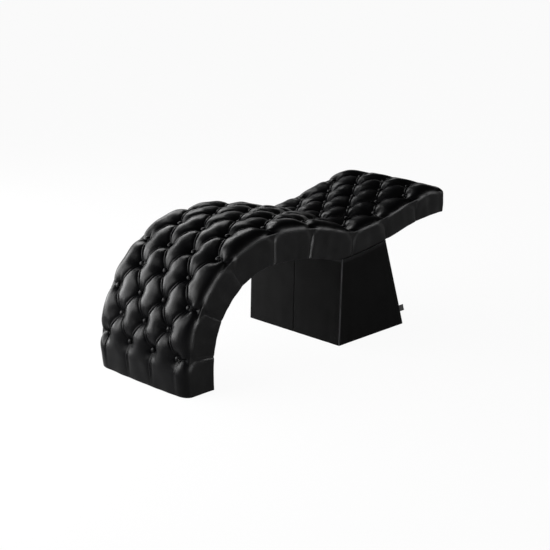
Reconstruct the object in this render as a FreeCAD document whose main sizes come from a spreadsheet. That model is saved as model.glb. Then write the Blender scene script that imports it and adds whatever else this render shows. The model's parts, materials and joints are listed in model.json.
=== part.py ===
import FreeCAD, Part
import math
import os

import Sketcher

Vector = FreeCAD.Vector
Placement = FreeCAD.Placement
Rotation = FreeCAD.Rotation

# Driving sizes in millimetres, and in degrees where the name ends in turn or lean
SIZES = {
    # Overall form
    "bed_width": 620,
    "glide_height": 4,
    # Underside line, from the foot over the arch and the seat hollow to the head
    "foot_rise": 116,
    "arch_radius": 390,
    "crest_radius": 1300,
    "crest_turn": 14.3,
    "fall_length": 97,
    "hollow_radius": 220,
    "hollow_turn": 18.4,
    "back_radius": 2650,
    "back_turn": 9.6,
    "head_radius": 1150,
    "head_turn": 15.2,
    # Deck line, which the tufted foam lies on
    "arch_depth": 140,
    "back_depth": 106,
    "deck_fall_turn": 16.5,
    "deck_hollow_radius": 250,
    # Skins and boards of the body
    "skin": 3,
    "side_padding": 5,
    "soft_gap": 0.3,
    "deck_ply": 6,
    "under_ply": 4,
    "under_cloth": 1,
    "rib_ply": 18,
    # Rails of the body
    "rail_thick": 22,
    "rail_height": 50,
    "sole_height": 36,
    "seat_rail_width": 70,
    "seat_rail_height": 36,
    "end_board": 18,
    "joint_gap": 0.3,
    # Tufting: stations of the rows with edge buttons, along a deck of this length from the floor
    "deck_run": 2195.5,
    "row_1": 170,
    "row_3": 394,
    "row_5": 647,
    "row_7": 935,
    "row_9": 1196,
    "row_11": 1495,
    "row_13": 1725,
    "row_15": 1964,
    "last_row_step": 121,
    "edge_margin": 65.5,
    # Tufting: heights of the cover over the deck
    "tuft_dip": 16,
    "tuft_crown": 50,
    "fold_dip": 31,
    "fold_crown": 46,
    "edge_crown": 47,
    "edge_fold_crown": 42,
    "floor_crown": 20,
    "floor_fold": 16,
    "end_crown": 12,
    "end_fold": 7,
    "fold_swell": 10,
    "shoulder_width": 22,
    "shoulder_level": 4,
    # Buttons and their ties
    "button_radius": 12.5,
    "button_flat": 11,
    "seat_rise": 0.2,
    "pleat_half": 3,
    "button_slope": 0.76,
    "button_dome": 5.5,
    "twine_radius": 1,
    "twine_hole_radius": 2,
    "knot_radius": 3.5,
    "washer_radius": 10,
    "washer_thick": 2,
    # Base box
    "base_overhang": 4,
    "base_set_in": 38,
    "base_top_length": 326,
    "front_lean": 2,
    "head_lean": 17.8,
    "base_board": 18,
    "base_cover": 4,
    "base_post": 30,
    "floor_rail_width": 40,
    "floor_rail_height": 36,
    "cover_seam": 0.6,
    "body_gap": 0.4,
    "board_gap": 0.8,
    "post_gap": 1.2,
    "bearer_width": 70,
    "bearer_height": 40,
    "bearer_clear": 8,
    # Bolts that hold the body on the base
    "bolt_spacing": 360,
    "bolt_radius": 4,
    "bolt_hole_radius": 4.5,
    "bolt_head_radius": 7.5,
    "bolt_head_height": 5.3,
    "bolt_washer_radius": 12,
    "bolt_washer_thick": 2,
    "tee_flange_radius": 11,
    "tee_flange_thick": 1.8,
    "tee_barrel_radius": 5.5,
    "tee_barrel_height": 9,
    # Wood screws and glides
    "screw_radius": 2.2,
    "screw_head_radius": 4.4,
    "screw_head_height": 3,
    "screw_length": 50,
    "glide_screw_length": 20,
    "screw_gap": 0.15,
    "glide_radius": 15,
    "glide_edge": 70,
    # Blank label in the base corner seam
    "label_length": 30,
    "label_height": 34,
    "label_thick": 1.6,
    "label_rise": 73,
}

# Counts and shares that set how the forms are drawn
COLUMNS = 4
FOOT_SECTIONS = (0.0, 0.35, 0.68)
HEAD_SECTIONS = (0.36, 0.70, 1.0)
BROW_SHARE = 0.8
SCREWS_PER_POST = 3
# Shortest length that counts in the path geometry
SLACK = 1e-6

doc = FreeCAD.newDocument("lash_bed")
sheet = doc.addObject("Spreadsheet::Sheet", "sizes")
for row, (alias, value) in enumerate(SIZES.items(), 1):
    sheet.set(f"A{row}", alias)
    sheet.set(f"B{row}", str(value))
    sheet.setAlias(f"B{row}", alias)
doc.recompute()


def size(alias):
    """Read one driving size from the sheet."""
    return float(sheet.get(alias))


class Path:
    """Tangent straight runs and arcs in the XZ plane, measured by distance from the start.

    Each run is (length, radius): radius 0 is straight, positive turns left and negative right.
    """

    def __init__(self, start, heading, runs):
        self.spans = []
        x, z = start
        for length, radius in runs:
            self.spans.append((x, z, heading, length, radius))
            x, z, heading = span_point(self.spans[-1], length)

    def length(self):
        return sum(span[3] for span in self.spans)

    def span_start(self, index):
        """Distance at which a span starts."""
        return sum(span[3] for span in self.spans[:index])

    def at(self, distance):
        """Point and heading at a distance."""
        for span in self.spans[:-1]:
            if distance <= span[3]:
                return span_point(span, distance)
            distance -= span[3]
        return span_point(self.spans[-1], distance)

    def offset(self, gap):
        """The parallel path on the left, or on the right for a negative gap."""
        x, z, heading = self.spans[0][:3]
        start = (x - gap * math.sin(heading), z + gap * math.cos(heading))
        runs = []
        for span in self.spans:
            length, radius = span[3:]
            if radius:
                length *= (radius - gap) / radius
                radius -= gap
            runs.append((length, radius))
        return Path(start, heading, runs)

    def reach(self, point, direction):
        """How far from a point the path lies in a direction, and the distance along the path there."""
        found = []
        for index, span in enumerate(self.spans):
            for run, along in span_hits(span, point, direction):
                found.append((run, self.span_start(index) + along))
        return min(found)

    def curves(self, first=0.0, last=None):
        """Lines and arcs of the path between two distances, as point lists."""
        last = self.length() if last is None else last
        pieces = []
        for index, span in enumerate(self.spans):
            begin = self.span_start(index)
            low = max(first - begin, 0.0)
            high = min(last - begin, span[3])
            if high - low < SLACK:
                continue
            stops = (low, high) if not span[4] else (low, (low + high) / 2, high)
            pieces.append([span_point(span, stop)[:2] for stop in stops])
        return pieces


def span_point(span, along):
    """Point and heading at a distance into one span."""
    x, z, heading, _, radius = span
    if not radius:
        return x + along * math.cos(heading), z + along * math.sin(heading), heading
    turned = heading + along / radius
    x += radius * (math.sin(turned) - math.sin(heading))
    z -= radius * (math.cos(turned) - math.cos(heading))
    return x, z, turned


def span_hits(span, point, direction):
    """Where a ray from a point meets one span: (ray length, distance into the span)."""
    x, z, heading, length, radius = span
    px, pz = point
    dx, dz = direction
    hits = []
    if not radius:
        cross = dx * math.sin(heading) - dz * math.cos(heading)
        if abs(cross) > SLACK:
            run = ((x - px) * math.sin(heading) - (z - pz) * math.cos(heading)) / cross
            along = (px + run * dx - x) * math.cos(heading) + (pz + run * dz - z) * math.sin(heading)
            hits.append((run, along))
    else:
        cx = x - radius * math.sin(heading)
        cz = z + radius * math.cos(heading)
        half = (px - cx) * dx + (pz - cz) * dz
        inside = half * half - (px - cx) ** 2 - (pz - cz) ** 2 + radius * radius
        if inside >= 0:
            for run in (-half - math.sqrt(inside), -half + math.sqrt(inside)):
                turned = math.atan2((px + run * dx - cx) / radius, -(pz + run * dz - cz) / radius)
                turn = (turned - heading + math.pi) % (2 * math.pi) - math.pi
                hits.append((run, turn * radius))
    return [(run, along) for run, along in hits if run > SLACK and -SLACK <= along <= length + SLACK]


def arc_run(radius_name, turn_name, sign):
    """One arc of the underside line; sign +1 turns left and -1 turns right."""
    radius = size(radius_name)
    return radius * math.radians(size(turn_name)), sign * radius


def underside_path():
    """The line that the underside follows, from the foot to the head, with the foot's inner face at X 0."""
    runs = [
        (size("foot_rise"), 0.0),
        (size("arch_radius") * math.pi / 2, -size("arch_radius")),
        arc_run("crest_radius", "crest_turn", -1),
        (size("fall_length"), 0.0),
        arc_run("hollow_radius", "hollow_turn", 1),
        arc_run("back_radius", "back_turn", 1),
        arc_run("head_radius", "head_turn", -1),
    ]
    return Path((0.0, size("glide_height")), math.pi / 2, runs)


def deck_path(under):
    """The deck line: parallel to the underside at the arch and at the back, with its own softer hollow."""
    crest_radius = size("crest_radius") + size("arch_depth")
    back_radius = size("back_radius") - size("back_depth")
    hollow = size("deck_hollow_radius")
    fall = math.radians(size("deck_fall_turn"))
    crest_x, crest_z, _, _, _ = under.spans[2]
    crest_center = (crest_x, crest_z - size("crest_radius"))
    back_x, back_z, back_heading, _, _ = under.spans[5]
    back_center = (
        back_x - size("back_radius") * math.sin(back_heading),
        back_z + size("back_radius") * math.cos(back_heading),
    )
    # The fall runs straight from the crest; the hollow's centre lies beside it, inside the back arc
    side = (math.sin(fall), math.cos(fall))
    ahead = (math.cos(fall), -math.sin(fall))
    begin_x = crest_center[0] + (crest_radius + hollow) * side[0] - back_center[0]
    begin_z = crest_center[1] + (crest_radius + hollow) * side[1] - back_center[1]
    half = begin_x * ahead[0] + begin_z * ahead[1]
    reach = half * half - begin_x ** 2 - begin_z ** 2 + (back_radius - hollow) ** 2
    fall_length = -half + math.sqrt(reach)
    center_x = begin_x + fall_length * ahead[0]
    center_z = begin_z + fall_length * ahead[1]
    join = math.atan2(center_x, -center_z)
    back_end = back_heading + math.radians(size("back_turn"))
    head_radius = size("head_radius") + size("back_depth")
    arch_radius = size("arch_radius") + size("arch_depth")
    runs = [
        (size("foot_rise"), 0.0),
        (arch_radius * math.pi / 2, -arch_radius),
        (crest_radius * fall, -crest_radius),
        (fall_length, 0.0),
        (hollow * (fall + join), hollow),
        (back_radius * (back_end - join), back_radius),
        (head_radius * math.radians(size("head_turn")), -head_radius),
    ]
    return Path((-size("arch_depth"), size("glide_height")), math.pi / 2, runs)


UNDER = underside_path()
DECK = deck_path(UNDER)
HALF_WIDTH = size("bed_width") / 2
FRAME_HALF = HALF_WIDTH - size("skin") - size("side_padding")
RAIL_HALF = FRAME_HALF - size("rib_ply")
BASE_HALF = HALF_WIDTH + size("base_overhang")
BOARD_HALF = BASE_HALF - size("base_cover")
PITCH = (size("bed_width") - 2 * size("edge_margin")) / (COLUMNS - 1)
UNDER_FRAME = size("under_cloth") + size("under_ply")


class Station:
    """A cross section plane of the body, square to the deck line."""

    def __init__(self, distance):
        self.distance = distance
        self.x, self.z, self.heading = DECK.at(distance)
        self.normal = (-math.sin(self.heading), math.cos(self.heading))
        down = (-self.normal[0], -self.normal[1])
        self.depth = UNDER.reach((self.x, self.z), down)[0]

    def point(self, across, height):
        """The point at a place across the bed and a height over the deck."""
        return Vector(self.x + self.normal[0] * height, across, self.z + self.normal[1] * height)

    def placement(self, across, height):
        """A placement there with Z along the section's normal and X along the deck."""
        turn = Rotation(Vector(0, 1, 0), -math.degrees(self.heading))
        return Placement(self.point(across, height), turn)


def row_stations():
    """Distances of all rows: the ones with edge buttons, and the ones halfway between them."""
    stretch = DECK.length() / size("deck_run")
    edge_rows = [size(f"row_{number}") * stretch for number in range(1, 16, 2)]
    rows = []
    for here, after in zip(edge_rows, edge_rows[1:]):
        rows += [here, (here + after) / 2]
    return rows + [edge_rows[-1], edge_rows[-1] + size("last_row_step") * stretch]


ROWS = row_stations()


def row_columns(index):
    """Places of a row's buttons across the bed: edge rows have four, the rows between have three."""
    count = COLUMNS - index % 2
    return [PITCH * (column - (count - 1) / 2) for column in range(count)]


class Section:
    """One cross section of the upholstery, as arcs between folds from mid bed out to the shoulder.

    folds are (across, height) of the three folds on one side, and crowns are the heights halfway
    between them: at mid bed, twice between folds, and between the last fold and the shoulder.
    """

    def __init__(self, distance, folds, crowns):
        self.station = Station(distance)
        self.folds = folds
        self.crowns = crowns

    def arcs(self, inset):
        """Arcs of the whole outline from the near shoulder to the far one, set in by a thickness."""
        side, level = HALF_WIDTH - inset, size("shoulder_level")
        roll = size("shoulder_width")
        drop = (self.crowns[-1] - level) * BROW_SHARE
        brow = (side - roll, level + drop - inset)
        diagonal = math.sqrt(0.5)
        turn = (side - roll * (1 - diagonal), level + (drop - inset) * diagonal)
        folds = [(across, height - inset) for across, height in self.folds] + [brow]
        half = []
        for start, stop, crown in zip(folds, folds[1:], self.crowns[1:]):
            half.append([start, ((start[0] + stop[0]) / 2, crown - inset), stop])
        half.append([brow, turn, (side, level)])
        across, height = folds[0]
        middle = [(-across, height), (0.0, self.crowns[0] - inset), (across, height)]
        return mirrored(half) + [middle] + half


def mirrored(arcs):
    """The same arcs on the other side of the bed, run the same way across."""
    return [[(-across, height) for across, height in reversed(arc)] for arc in reversed(arcs)]


def tuft_section(distance, dip, crown, edge, seat, has_edge):
    """A section through a row of buttons: flat seats at the buttons and full crowns between them."""
    flat = dip + size("seat_rise")
    middle = PITCH / 2
    if has_edge:
        folds = [(middle - seat, dip), (middle + seat, dip), (3 * middle - seat, dip)]
        return Section(distance, folds, [crown, flat, crown, edge])
    folds = [(seat, dip), (2 * middle - seat, dip), (2 * middle + seat, dip)]
    return Section(distance, folds, [flat, crown, flat, edge])


def fold_section(distance):
    """A section halfway between two rows, where the diagonal folds cross."""
    quarter = PITCH / 4
    folds = [(quarter * count, size("fold_dip")) for count in (1, 3, 5)]
    return Section(distance, folds, [size("fold_crown")] * 3 + [size("edge_fold_crown")])


def tuft_sections():
    """All sections of the upholstery, from the floor at the foot to the head end."""
    dip, crown = size("tuft_dip"), size("tuft_crown")
    sections = []
    for share in FOOT_SECTIONS:
        fold = size("floor_fold") + (dip - size("floor_fold")) * share
        fold += size("fold_swell") * math.sin(math.pi * share)
        top = size("floor_crown") + (crown - size("floor_crown")) * math.sin(math.pi / 2 * share)
        sections.append(tuft_section(ROWS[0] * share, fold, top, fold, size("pleat_half"), True))
    for index, here in enumerate(ROWS):
        has_edge = index % 2 == 0
        edge = dip if has_edge else size("edge_crown")
        sections.append(tuft_section(here, dip, crown, edge, size("button_flat"), has_edge))
        if index + 1 < len(ROWS):
            sections.append(fold_section((here + ROWS[index + 1]) / 2))
    left = DECK.length() - ROWS[-1]
    for share in HEAD_SECTIONS:
        fold = dip + (size("end_fold") - dip) * share + size("fold_swell") * math.sin(math.pi * share)
        fall = math.cos(math.pi / 2 * share)
        top = size("end_crown") + (crown - size("end_crown")) * fall
        edge = size("end_crown") + (size("edge_crown") - size("end_crown")) * fall
        sections.append(tuft_section(ROWS[-1] + left * share, fold, top, edge, size("pleat_half"), False))
    return sections


SECTIONS = tuft_sections()


def foam_lift():
    """How far the foam's faceted bottom stays over the curved deck, so that its chords clear the arch."""
    rises = [0.0]
    for here, after in zip(SECTIONS, SECTIONS[1:]):
        step = after.station.distance - here.station.distance
        rises.append(step * (here.station.heading - after.station.heading) / 8)
    return max(rises) + size("soft_gap")


FOAM_LIFT = foam_lift()


def outline_edges(section, inset, from_far=False):
    """Edges of a section's outline, from the near side to the far side or back."""
    run = section.arcs(inset)
    if from_far:
        run = [list(reversed(arc)) for arc in reversed(run)]
    return [Part.Arc(*[section.station.point(*spot) for spot in arc]).toShape() for arc in run]


def line_edges(station, spots):
    """Straight edges through places of one section."""
    points = [station.point(*spot) for spot in spots]
    return [Part.makeLine(first, second) for first, second in zip(points, points[1:])]


def cover_wire(section):
    """Closed outline of the leather cover: over the tufts and down both side borders."""
    station, level = section.station, size("shoulder_level")
    side, inside = HALF_WIDTH, HALF_WIDTH - size("skin")
    low = -station.depth
    edges = line_edges(station, [(-side, low), (-side, level)])
    edges += outline_edges(section, 0.0)
    edges += line_edges(station, [(side, level), (side, low), (inside, low), (inside, level)])
    edges += outline_edges(section, size("skin"), from_far=True)
    edges += line_edges(station, [(-inside, level), (-inside, low), (-side, low)])
    return Part.Wire(edges)


def foam_wire(section):
    """Closed outline of the foam: flat over the deck, a small gap inside the cover."""
    station, level = section.station, size("shoulder_level")
    inset = size("skin") + size("soft_gap")
    side = HALF_WIDTH - inset
    edges = line_edges(station, [(-side, FOAM_LIFT), (-side, level)])
    edges += outline_edges(section, inset)
    edges += line_edges(station, [(side, level), (side, FOAM_LIFT), (-side, FOAM_LIFT)])
    return Part.Wire(edges)


def end_outline():
    """Closed outline of the head end, from the underside to the top edge."""
    station, level = SECTIONS[-1].station, size("shoulder_level")
    low = -station.depth
    edges = line_edges(station, [(-HALF_WIDTH, low), (-HALF_WIDTH, level)])
    edges += outline_edges(SECTIONS[-1], 0.0)
    edges += line_edges(station, [(HALF_WIDTH, level), (HALF_WIDTH, low), (-HALF_WIDTH, low)])
    return Part.Wire(edges)


PIECES = {}


def keep(label, obj):
    """Name a finished piece, which names its file."""
    obj.Label = label
    PIECES[label] = obj
    return obj


def shaped(name, shape):
    """A document object for a form that no feature makes."""
    obj = doc.addObject("Part::Feature", name)
    obj.Shape = shape
    return obj


def draw_outline(sketch, curves):
    """Draw a closed outline of lines and arcs, each joined to the next at the point they share."""
    ends = []
    for spots in curves:
        points = [Vector(x, z, 0) for x, z in spots]
        sketch.addGeometry(Part.LineSegment(*points) if len(points) == 2 else Part.Arc(*points), False)
        index = sketch.GeometryCount - 1
        begin = sketch.getPoint(index, 1)
        runs_on = begin.distanceToPoint(points[0]) < begin.distanceToPoint(points[-1])
        ends.append((1, 2) if runs_on else (2, 1))
    for index, (_, last) in enumerate(ends):
        after = (index + 1) % len(ends)
        sketch.addConstraint(Sketcher.Constraint("Coincident", index, last, after, ends[after][0]))


def prism(name, curves, thickness, across="0"):
    """A body padded evenly about a plane along the bed; thickness and place across are expressions."""
    body = doc.addObject("PartDesign::Body", name)
    sketch = body.newObject("Sketcher::SketchObject", name + "_sketch")
    plane = [item for item in body.Origin.OriginFeatures if item.Role == "XZ_Plane"][0]
    sketch.AttachmentSupport = (plane, [""])
    sketch.MapMode = "FlatFace"
    draw_outline(sketch, curves)
    pad = body.newObject("PartDesign::Pad", name + "_pad")
    pad.Profile = sketch
    pad.SideType = "Symmetric"
    pad.setExpression("Length", thickness)
    body.setExpression("Placement.Base.y", across)
    return body


def backwards(curves):
    """The same curves, run from the end to the start."""
    return [list(reversed(spots)) for spots in reversed(curves)]


def band(lower, upper):
    """Closed outline between two paths that start and end together."""
    low, high = lower.curves(), upper.curves()
    head = [[low[-1][-1], high[-1][-1]]]
    foot = [[high[0][0], low[0][0]]]
    return low + head + backwards(high) + foot


def polygon(points):
    """Closed outline of straight lines."""
    return [[first, second] for first, second in zip(points, points[1:] + points[:1])]


def drilled(name, base, holes):
    """A piece with holes or slots cut through it."""
    tool = shaped(name + "_tool", Part.makeCompound(holes))
    cut = doc.addObject("Part::Cut", name)
    cut.Base = base
    cut.Tool = tool
    return cut


def bar(name, length, width, height, placement):
    """A straight bar with its middle at the placement; its sizes are expressions."""
    box = doc.addObject("Part::Box", name)
    for side, expression in (("Length", length), ("Width", width), ("Height", height)):
        box.setExpression(side, expression)
    doc.recompute()
    half = Vector(-box.Length.Value / 2, -box.Width.Value / 2, -box.Height.Value / 2)
    box.Placement = placement * Placement(half, Rotation())
    return box


def slot(placement, length, width, height):
    """A cutting box with its middle at the placement."""
    box = Part.makeBox(length, width, height, Vector(-length / 2, -width / 2, -height / 2))
    box.Placement = placement
    return box


def group(label, master, placements):
    """Copies of one piece, kept together."""
    copies = []
    for placement in placements:
        copy = master.Shape.copy()
        copy.Placement = placement
        copies.append(copy)
    return keep(label, shaped(label, Part.makeCompound(copies)))


def turned(name, profile):
    """A round body from half of its outline, given as closed (radius, height) curves about Z."""
    body = doc.addObject("PartDesign::Body", name)
    sketch = body.newObject("Sketcher::SketchObject", name + "_sketch")
    plane = [item for item in body.Origin.OriginFeatures if item.Role == "XZ_Plane"][0]
    sketch.AttachmentSupport = (plane, [""])
    sketch.MapMode = "FlatFace"
    draw_outline(sketch, profile)
    turn = body.newObject("PartDesign::Revolution", name + "_turn")
    turn.Profile = sketch
    turn.ReferenceAxis = (sketch, ["V_Axis"])
    turn.Angle = 360
    doc.recompute()
    return body


def cylinder(radius, bottom, top):
    """A cutting cylinder about Z."""
    return Part.makeCylinder(radius, top - bottom, Vector(0, 0, bottom))


def placed(shape, placement):
    """A copy of a shape at a placement."""
    copy = shape.copy()
    copy.Placement = placement
    return copy


def button_places():
    """Station and place across of every button."""
    return [(Station(row), across) for index, row in enumerate(ROWS) for across in row_columns(index)]


def build_upholstery():
    """Upholstery of the body: foam and cover pierced for the twine, head end panel and side padding."""
    needle = cylinder(size("twine_radius") + size("soft_gap"), 0.0, size("tuft_crown"))
    holes = [placed(needle, station.placement(across, 0)) for station, across in button_places()]
    for label, wire in (("tufted_cover", cover_wire), ("foam_pad", foam_wire)):
        form = Part.makeLoft([wire(section) for section in SECTIONS], True, True)
        keep(label, drilled(label, shaped(label + "_form", form), holes))
    end = SECTIONS[-1].station
    outward = Vector(math.cos(end.heading), 0, math.sin(end.heading)) * size("skin")
    panel = Part.Face(end_outline()).extrude(outward)
    keep("head_end_cover", shaped("head_end_cover", panel))
    padding = band(UNDER.offset(size("under_cloth")), DECK)
    middle = "sizes.bed_width / 2 - sizes.skin - sizes.side_padding / 2"
    keep("side_padding_near", prism("side_padding_near", padding, "sizes.side_padding", f"-({middle})"))
    keep("side_padding_far", prism("side_padding_far", padding, "sizes.side_padding", middle))


def build_buttons():
    """Buttons on the cover, with the twine that ties each one and the deck holes that it runs through."""
    radius, dome = size("button_radius"), size("button_dome")
    seat = radius * size("button_slope")
    cap = (radius ** 2 + dome ** 2) / (2 * dome)
    half = math.asin(radius / cap) / 2
    shoulder = (cap * math.sin(half), seat + dome - cap * (1 - math.cos(half)))
    button = turned("button", [
        [(0, 0), (radius, seat)],
        [(radius, seat), shoulder, (0, seat + dome)],
        [(0, seat + dome), (0, 0)],
    ])
    tie_top = size("tuft_dip") + size("soft_gap")
    washer_top = -size("deck_ply") - size("joint_gap")
    washer_bottom = washer_top - size("washer_thick")
    places = button_places()
    group("tuft_buttons", button, [station.placement(across, tie_top) for station, across in places])
    twine, knot = size("twine_radius"), size("knot_radius")
    tie = turned("tie", [
        [(0, tie_top), (twine, tie_top)],
        [(twine, tie_top), (twine, washer_bottom)],
        [(twine, washer_bottom), (knot, washer_bottom)],
        [(knot, washer_bottom), (knot * math.sqrt(0.5), washer_bottom - knot * math.sqrt(0.5)),
         (0, washer_bottom - knot)],
        [(0, washer_bottom - knot), (0, tie_top)],
    ])
    deck_level = [station.placement(across, 0) for station, across in places]
    group("tuft_twine", tie, deck_level)
    hole = size("twine_hole_radius")
    washer = turned("washer", polygon([
        (hole, washer_top), (size("washer_radius"), washer_top),
        (size("washer_radius"), washer_bottom), (hole, washer_bottom),
    ]))
    group("twine_washers", washer, deck_level)
    drill = cylinder(hole, -2 * size("deck_ply"), size("deck_ply"))
    return [placed(drill, placement) for placement in deck_level]


# Places of the rails: between the rows of each pair, so that they clear the ties
RAIL_STATIONS = [Station((first + second) / 2) for first, second in zip(ROWS[0::2], ROWS[1::2])]
RAIL_LEVEL = -size("deck_ply") - size("joint_gap") - size("rail_height") / 2


def under_placement(distance, height):
    """A placement on the underside line with Z square to it."""
    x, z, heading = UNDER.at(distance)
    turn = Rotation(Vector(0, 1, 0), -math.degrees(heading))
    return Placement(Vector(x - height * math.sin(heading), 0, z + height * math.cos(heading)), turn)


BASE_FRONT = UNDER.span_start(4) + size("base_set_in")
BASE_HEAD = BASE_FRONT + size("base_top_length")
BEARER_EDGE = size("base_cover") + size("base_board") + size("base_post") + size("bearer_clear")
BEARER_STOPS = [
    BASE_FRONT + BEARER_EDGE + size("bearer_width") / 2,
    BASE_HEAD - BEARER_EDGE / math.cos(math.radians(size("head_lean"))) - size("bearer_width") / 2,
]
SEAT_RISE_GAP = size("joint_gap") + size("seat_rail_width") ** 2 / (8 * (size("back_radius") - UNDER_FRAME))
SEAT_RAIL_LEVEL = UNDER_FRAME + SEAT_RISE_GAP + size("seat_rail_height") / 2


def screw_tool(screw):
    """The hole that a countersunk screw needs, a little wider than the screw."""
    gap = size("screw_gap")
    head = size("screw_head_radius") + gap
    shank = size("screw_radius") + gap
    cone = Part.makeCone(head, shank, size("screw_head_height"))
    drill = Part.makeCylinder(shank, screw + gap)
    return cone.fuse(drill)


def screw_master(name, length):
    """A countersunk wood screw with its head at the origin, pointing up Z; length names its size."""
    head = doc.addObject("Part::Cone", name + "_head")
    head.setExpression("Radius1", "sizes.screw_head_radius")
    head.setExpression("Radius2", "sizes.screw_radius")
    head.setExpression("Height", "sizes.screw_head_height")
    shank = doc.addObject("Part::Cylinder", name + "_shank")
    shank.setExpression("Radius", "sizes.screw_radius")
    shank.setExpression("Height", "sizes." + length)
    screw = doc.addObject("Part::Fuse", name)
    screw.Base = head
    screw.Tool = shank
    doc.recompute()
    return screw


def sideways(x, z, side, half):
    """A placement on a side face with Z pointing into the bed; side is -1 near and 1 far."""
    return Placement(Vector(x, side * half, z), Rotation(Vector(1, 0, 0), 90 * side))


def build_frame(deck_holes, bolt_holes, sole_holes):
    """Frame of the body: rails, ribs with their screws, deck and underside boards."""
    lower = UNDER.offset(UNDER_FRAME)
    upper = DECK.offset(-size("deck_ply"))
    outline = band(lower, upper)
    inside = "sizes.bed_width - 2 * (sizes.skin + sizes.side_padding + sizes.rib_ply)"
    whole = "sizes.bed_width - 2 * (sizes.skin + sizes.side_padding)"
    gap, room = size("joint_gap"), 2 * size("joint_gap")
    tool = screw_tool(size("screw_length"))
    screw_places = []
    slots = []

    sole_middle = (lower.at(0)[0] + upper.at(0)[0]) / 2
    sole_level = size("glide_height") + size("sole_height") / 2
    sole_place = Placement(Vector(sole_middle, 0, sole_level), Rotation())
    sole_length = "sizes.arch_depth - sizes.under_cloth - sizes.under_ply - sizes.deck_ply"
    sole = bar("sole_bar", sole_length, inside, "sizes.sole_height", sole_place)
    slots.append(slot(sole_place, 2 * size("arch_depth"), 2 * RAIL_HALF, size("sole_height") + room))
    sole_screws = [sideways(sole_middle, sole_level, side, FRAME_HALF) for side in (-1, 1)]
    sole_tools = [placed(tool, place) for place in sole_screws] + sole_holes
    keep("foot_sole_rail", drilled("foot_sole_rail", sole, sole_tools))
    screw_places += sole_screws

    for number, station in enumerate(RAIL_STATIONS, 1):
        place = station.placement(0, RAIL_LEVEL)
        rail = bar(f"rail_bar_{number}", "sizes.rail_thick", inside, "sizes.rail_height", place)
        ends = [sideways(place.Base.x, place.Base.z, side, FRAME_HALF) for side in (-1, 1)]
        label = f"cross_rail_{number}"
        keep(label, drilled(label, rail, [placed(tool, end) for end in ends]))
        screw_places += ends
        slots.append(slot(place, size("rail_thick") + room, 2 * RAIL_HALF, size("rail_height") + 2 * room))

    bolt_rails = zip(("seat_rail_front", "seat_rail_head"), BEARER_STOPS)
    for label, stop in bolt_rails:
        place = under_placement(stop, SEAT_RAIL_LEVEL)
        rail = bar(label + "_bar", "sizes.seat_rail_width", inside, "sizes.seat_rail_height", place)
        ends = [sideways(place.Base.x, place.Base.z, side, FRAME_HALF) for side in (-1, 1)]
        keep(label, drilled(label, rail, [placed(tool, end) for end in ends] + bolt_holes))
        screw_places += ends
        low = under_placement(stop, SEAT_RAIL_LEVEL - SEAT_RISE_GAP)
        height = size("seat_rail_height") + 2 * SEAT_RISE_GAP + room
        slots.append(slot(low, size("seat_rail_width") + room, 2 * RAIL_HALF, height))

    end = SECTIONS[-1].station
    board_height = end.depth - UNDER_FRAME - size("deck_ply") - room
    board_middle = -(size("deck_ply") + gap + board_height / 2)
    back = Vector(math.cos(end.heading), 0, math.sin(end.heading)) * (-size("end_board") / 2)
    place = end.placement(0, board_middle)
    place.Base = place.Base + back
    board = bar("end_board", "sizes.end_board", inside, f"{board_height} mm", place)
    ends = [sideways(place.Base.x, place.Base.z, side, FRAME_HALF) for side in (-1, 1)]
    keep("head_end_board", drilled("head_end_board", board, [placed(tool, spot) for spot in ends]))
    screw_places += ends
    slots.append(slot(place, size("end_board") + room, 2 * RAIL_HALF, board_height + 2 * UNDER_FRAME))

    middle = "sizes.bed_width / 2 - sizes.skin - sizes.side_padding - sizes.rib_ply / 2"
    for label, across, side in (("rib_near", f"-({middle})", -1), ("rib_far", middle, 1)):
        rib = prism(label + "_board", outline, "sizes.rib_ply", across)
        holes = [placed(tool, spot) for spot in screw_places if spot.Base.y * side > 0]
        keep(label, drilled(label, rib, holes))
    inner = "(sizes.bed_width - 2 * sizes.edge_margin) / 4"
    for label, across in (("rib_inner_near", f"-({inner})"), ("rib_inner_far", inner)):
        rib = prism(label + "_board", outline, "sizes.rib_ply", across)
        keep(label, drilled(label, rib, slots))
    screw = screw_master("rail_screw", "screw_length")
    group("rail_screws", screw, screw_places)

    deck = prism("deck_board", band(upper, DECK), whole)
    keep("deck_panel", drilled("deck_panel", deck, deck_holes))
    panel = prism("under_board", band(UNDER.offset(size("under_cloth")), lower), whole)
    keep("underside_panel", drilled("underside_panel", panel, bolt_holes))
    sheet_outline = band(UNDER, UNDER.offset(size("under_cloth")))
    cloth = prism("cloth_sheet", sheet_outline, "sizes.bed_width - 2 * sizes.skin")
    keep("underside_cloth", drilled("underside_cloth", cloth, bolt_holes))


class Wall:
    """A straight leaning line of the base, from the floor up to the underside of the body."""

    def __init__(self, top_stop, lean, inward):
        x, z, _ = UNDER.at(top_stop)
        self.slope = math.tan(math.radians(lean)) * inward
        self.inward = inward
        self.cosine = math.cos(math.radians(lean))
        self.foot_x = x - (z - size("glide_height")) * self.slope

    def at(self, depth, height):
        """The X of the line set in by a depth, at a height over the glides."""
        return self.foot_x + self.inward * depth / self.cosine + height * self.slope

    def floor(self, depth):
        return self.at(depth, 0.0), size("glide_height")

    def top(self, depth, gap):
        """Where the set in line ends under the body, and the distance along the underside there."""
        start = self.floor(depth)
        rise = (self.slope * self.cosine, self.cosine)
        run, along = UNDER.offset(-gap).reach(start, rise)
        return (start[0] + run * rise[0], start[1] + run * rise[1]), along


FRONT = Wall(BASE_FRONT, size("front_lean"), 1)
HEAD = Wall(BASE_HEAD, size("head_lean"), -1)


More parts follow.
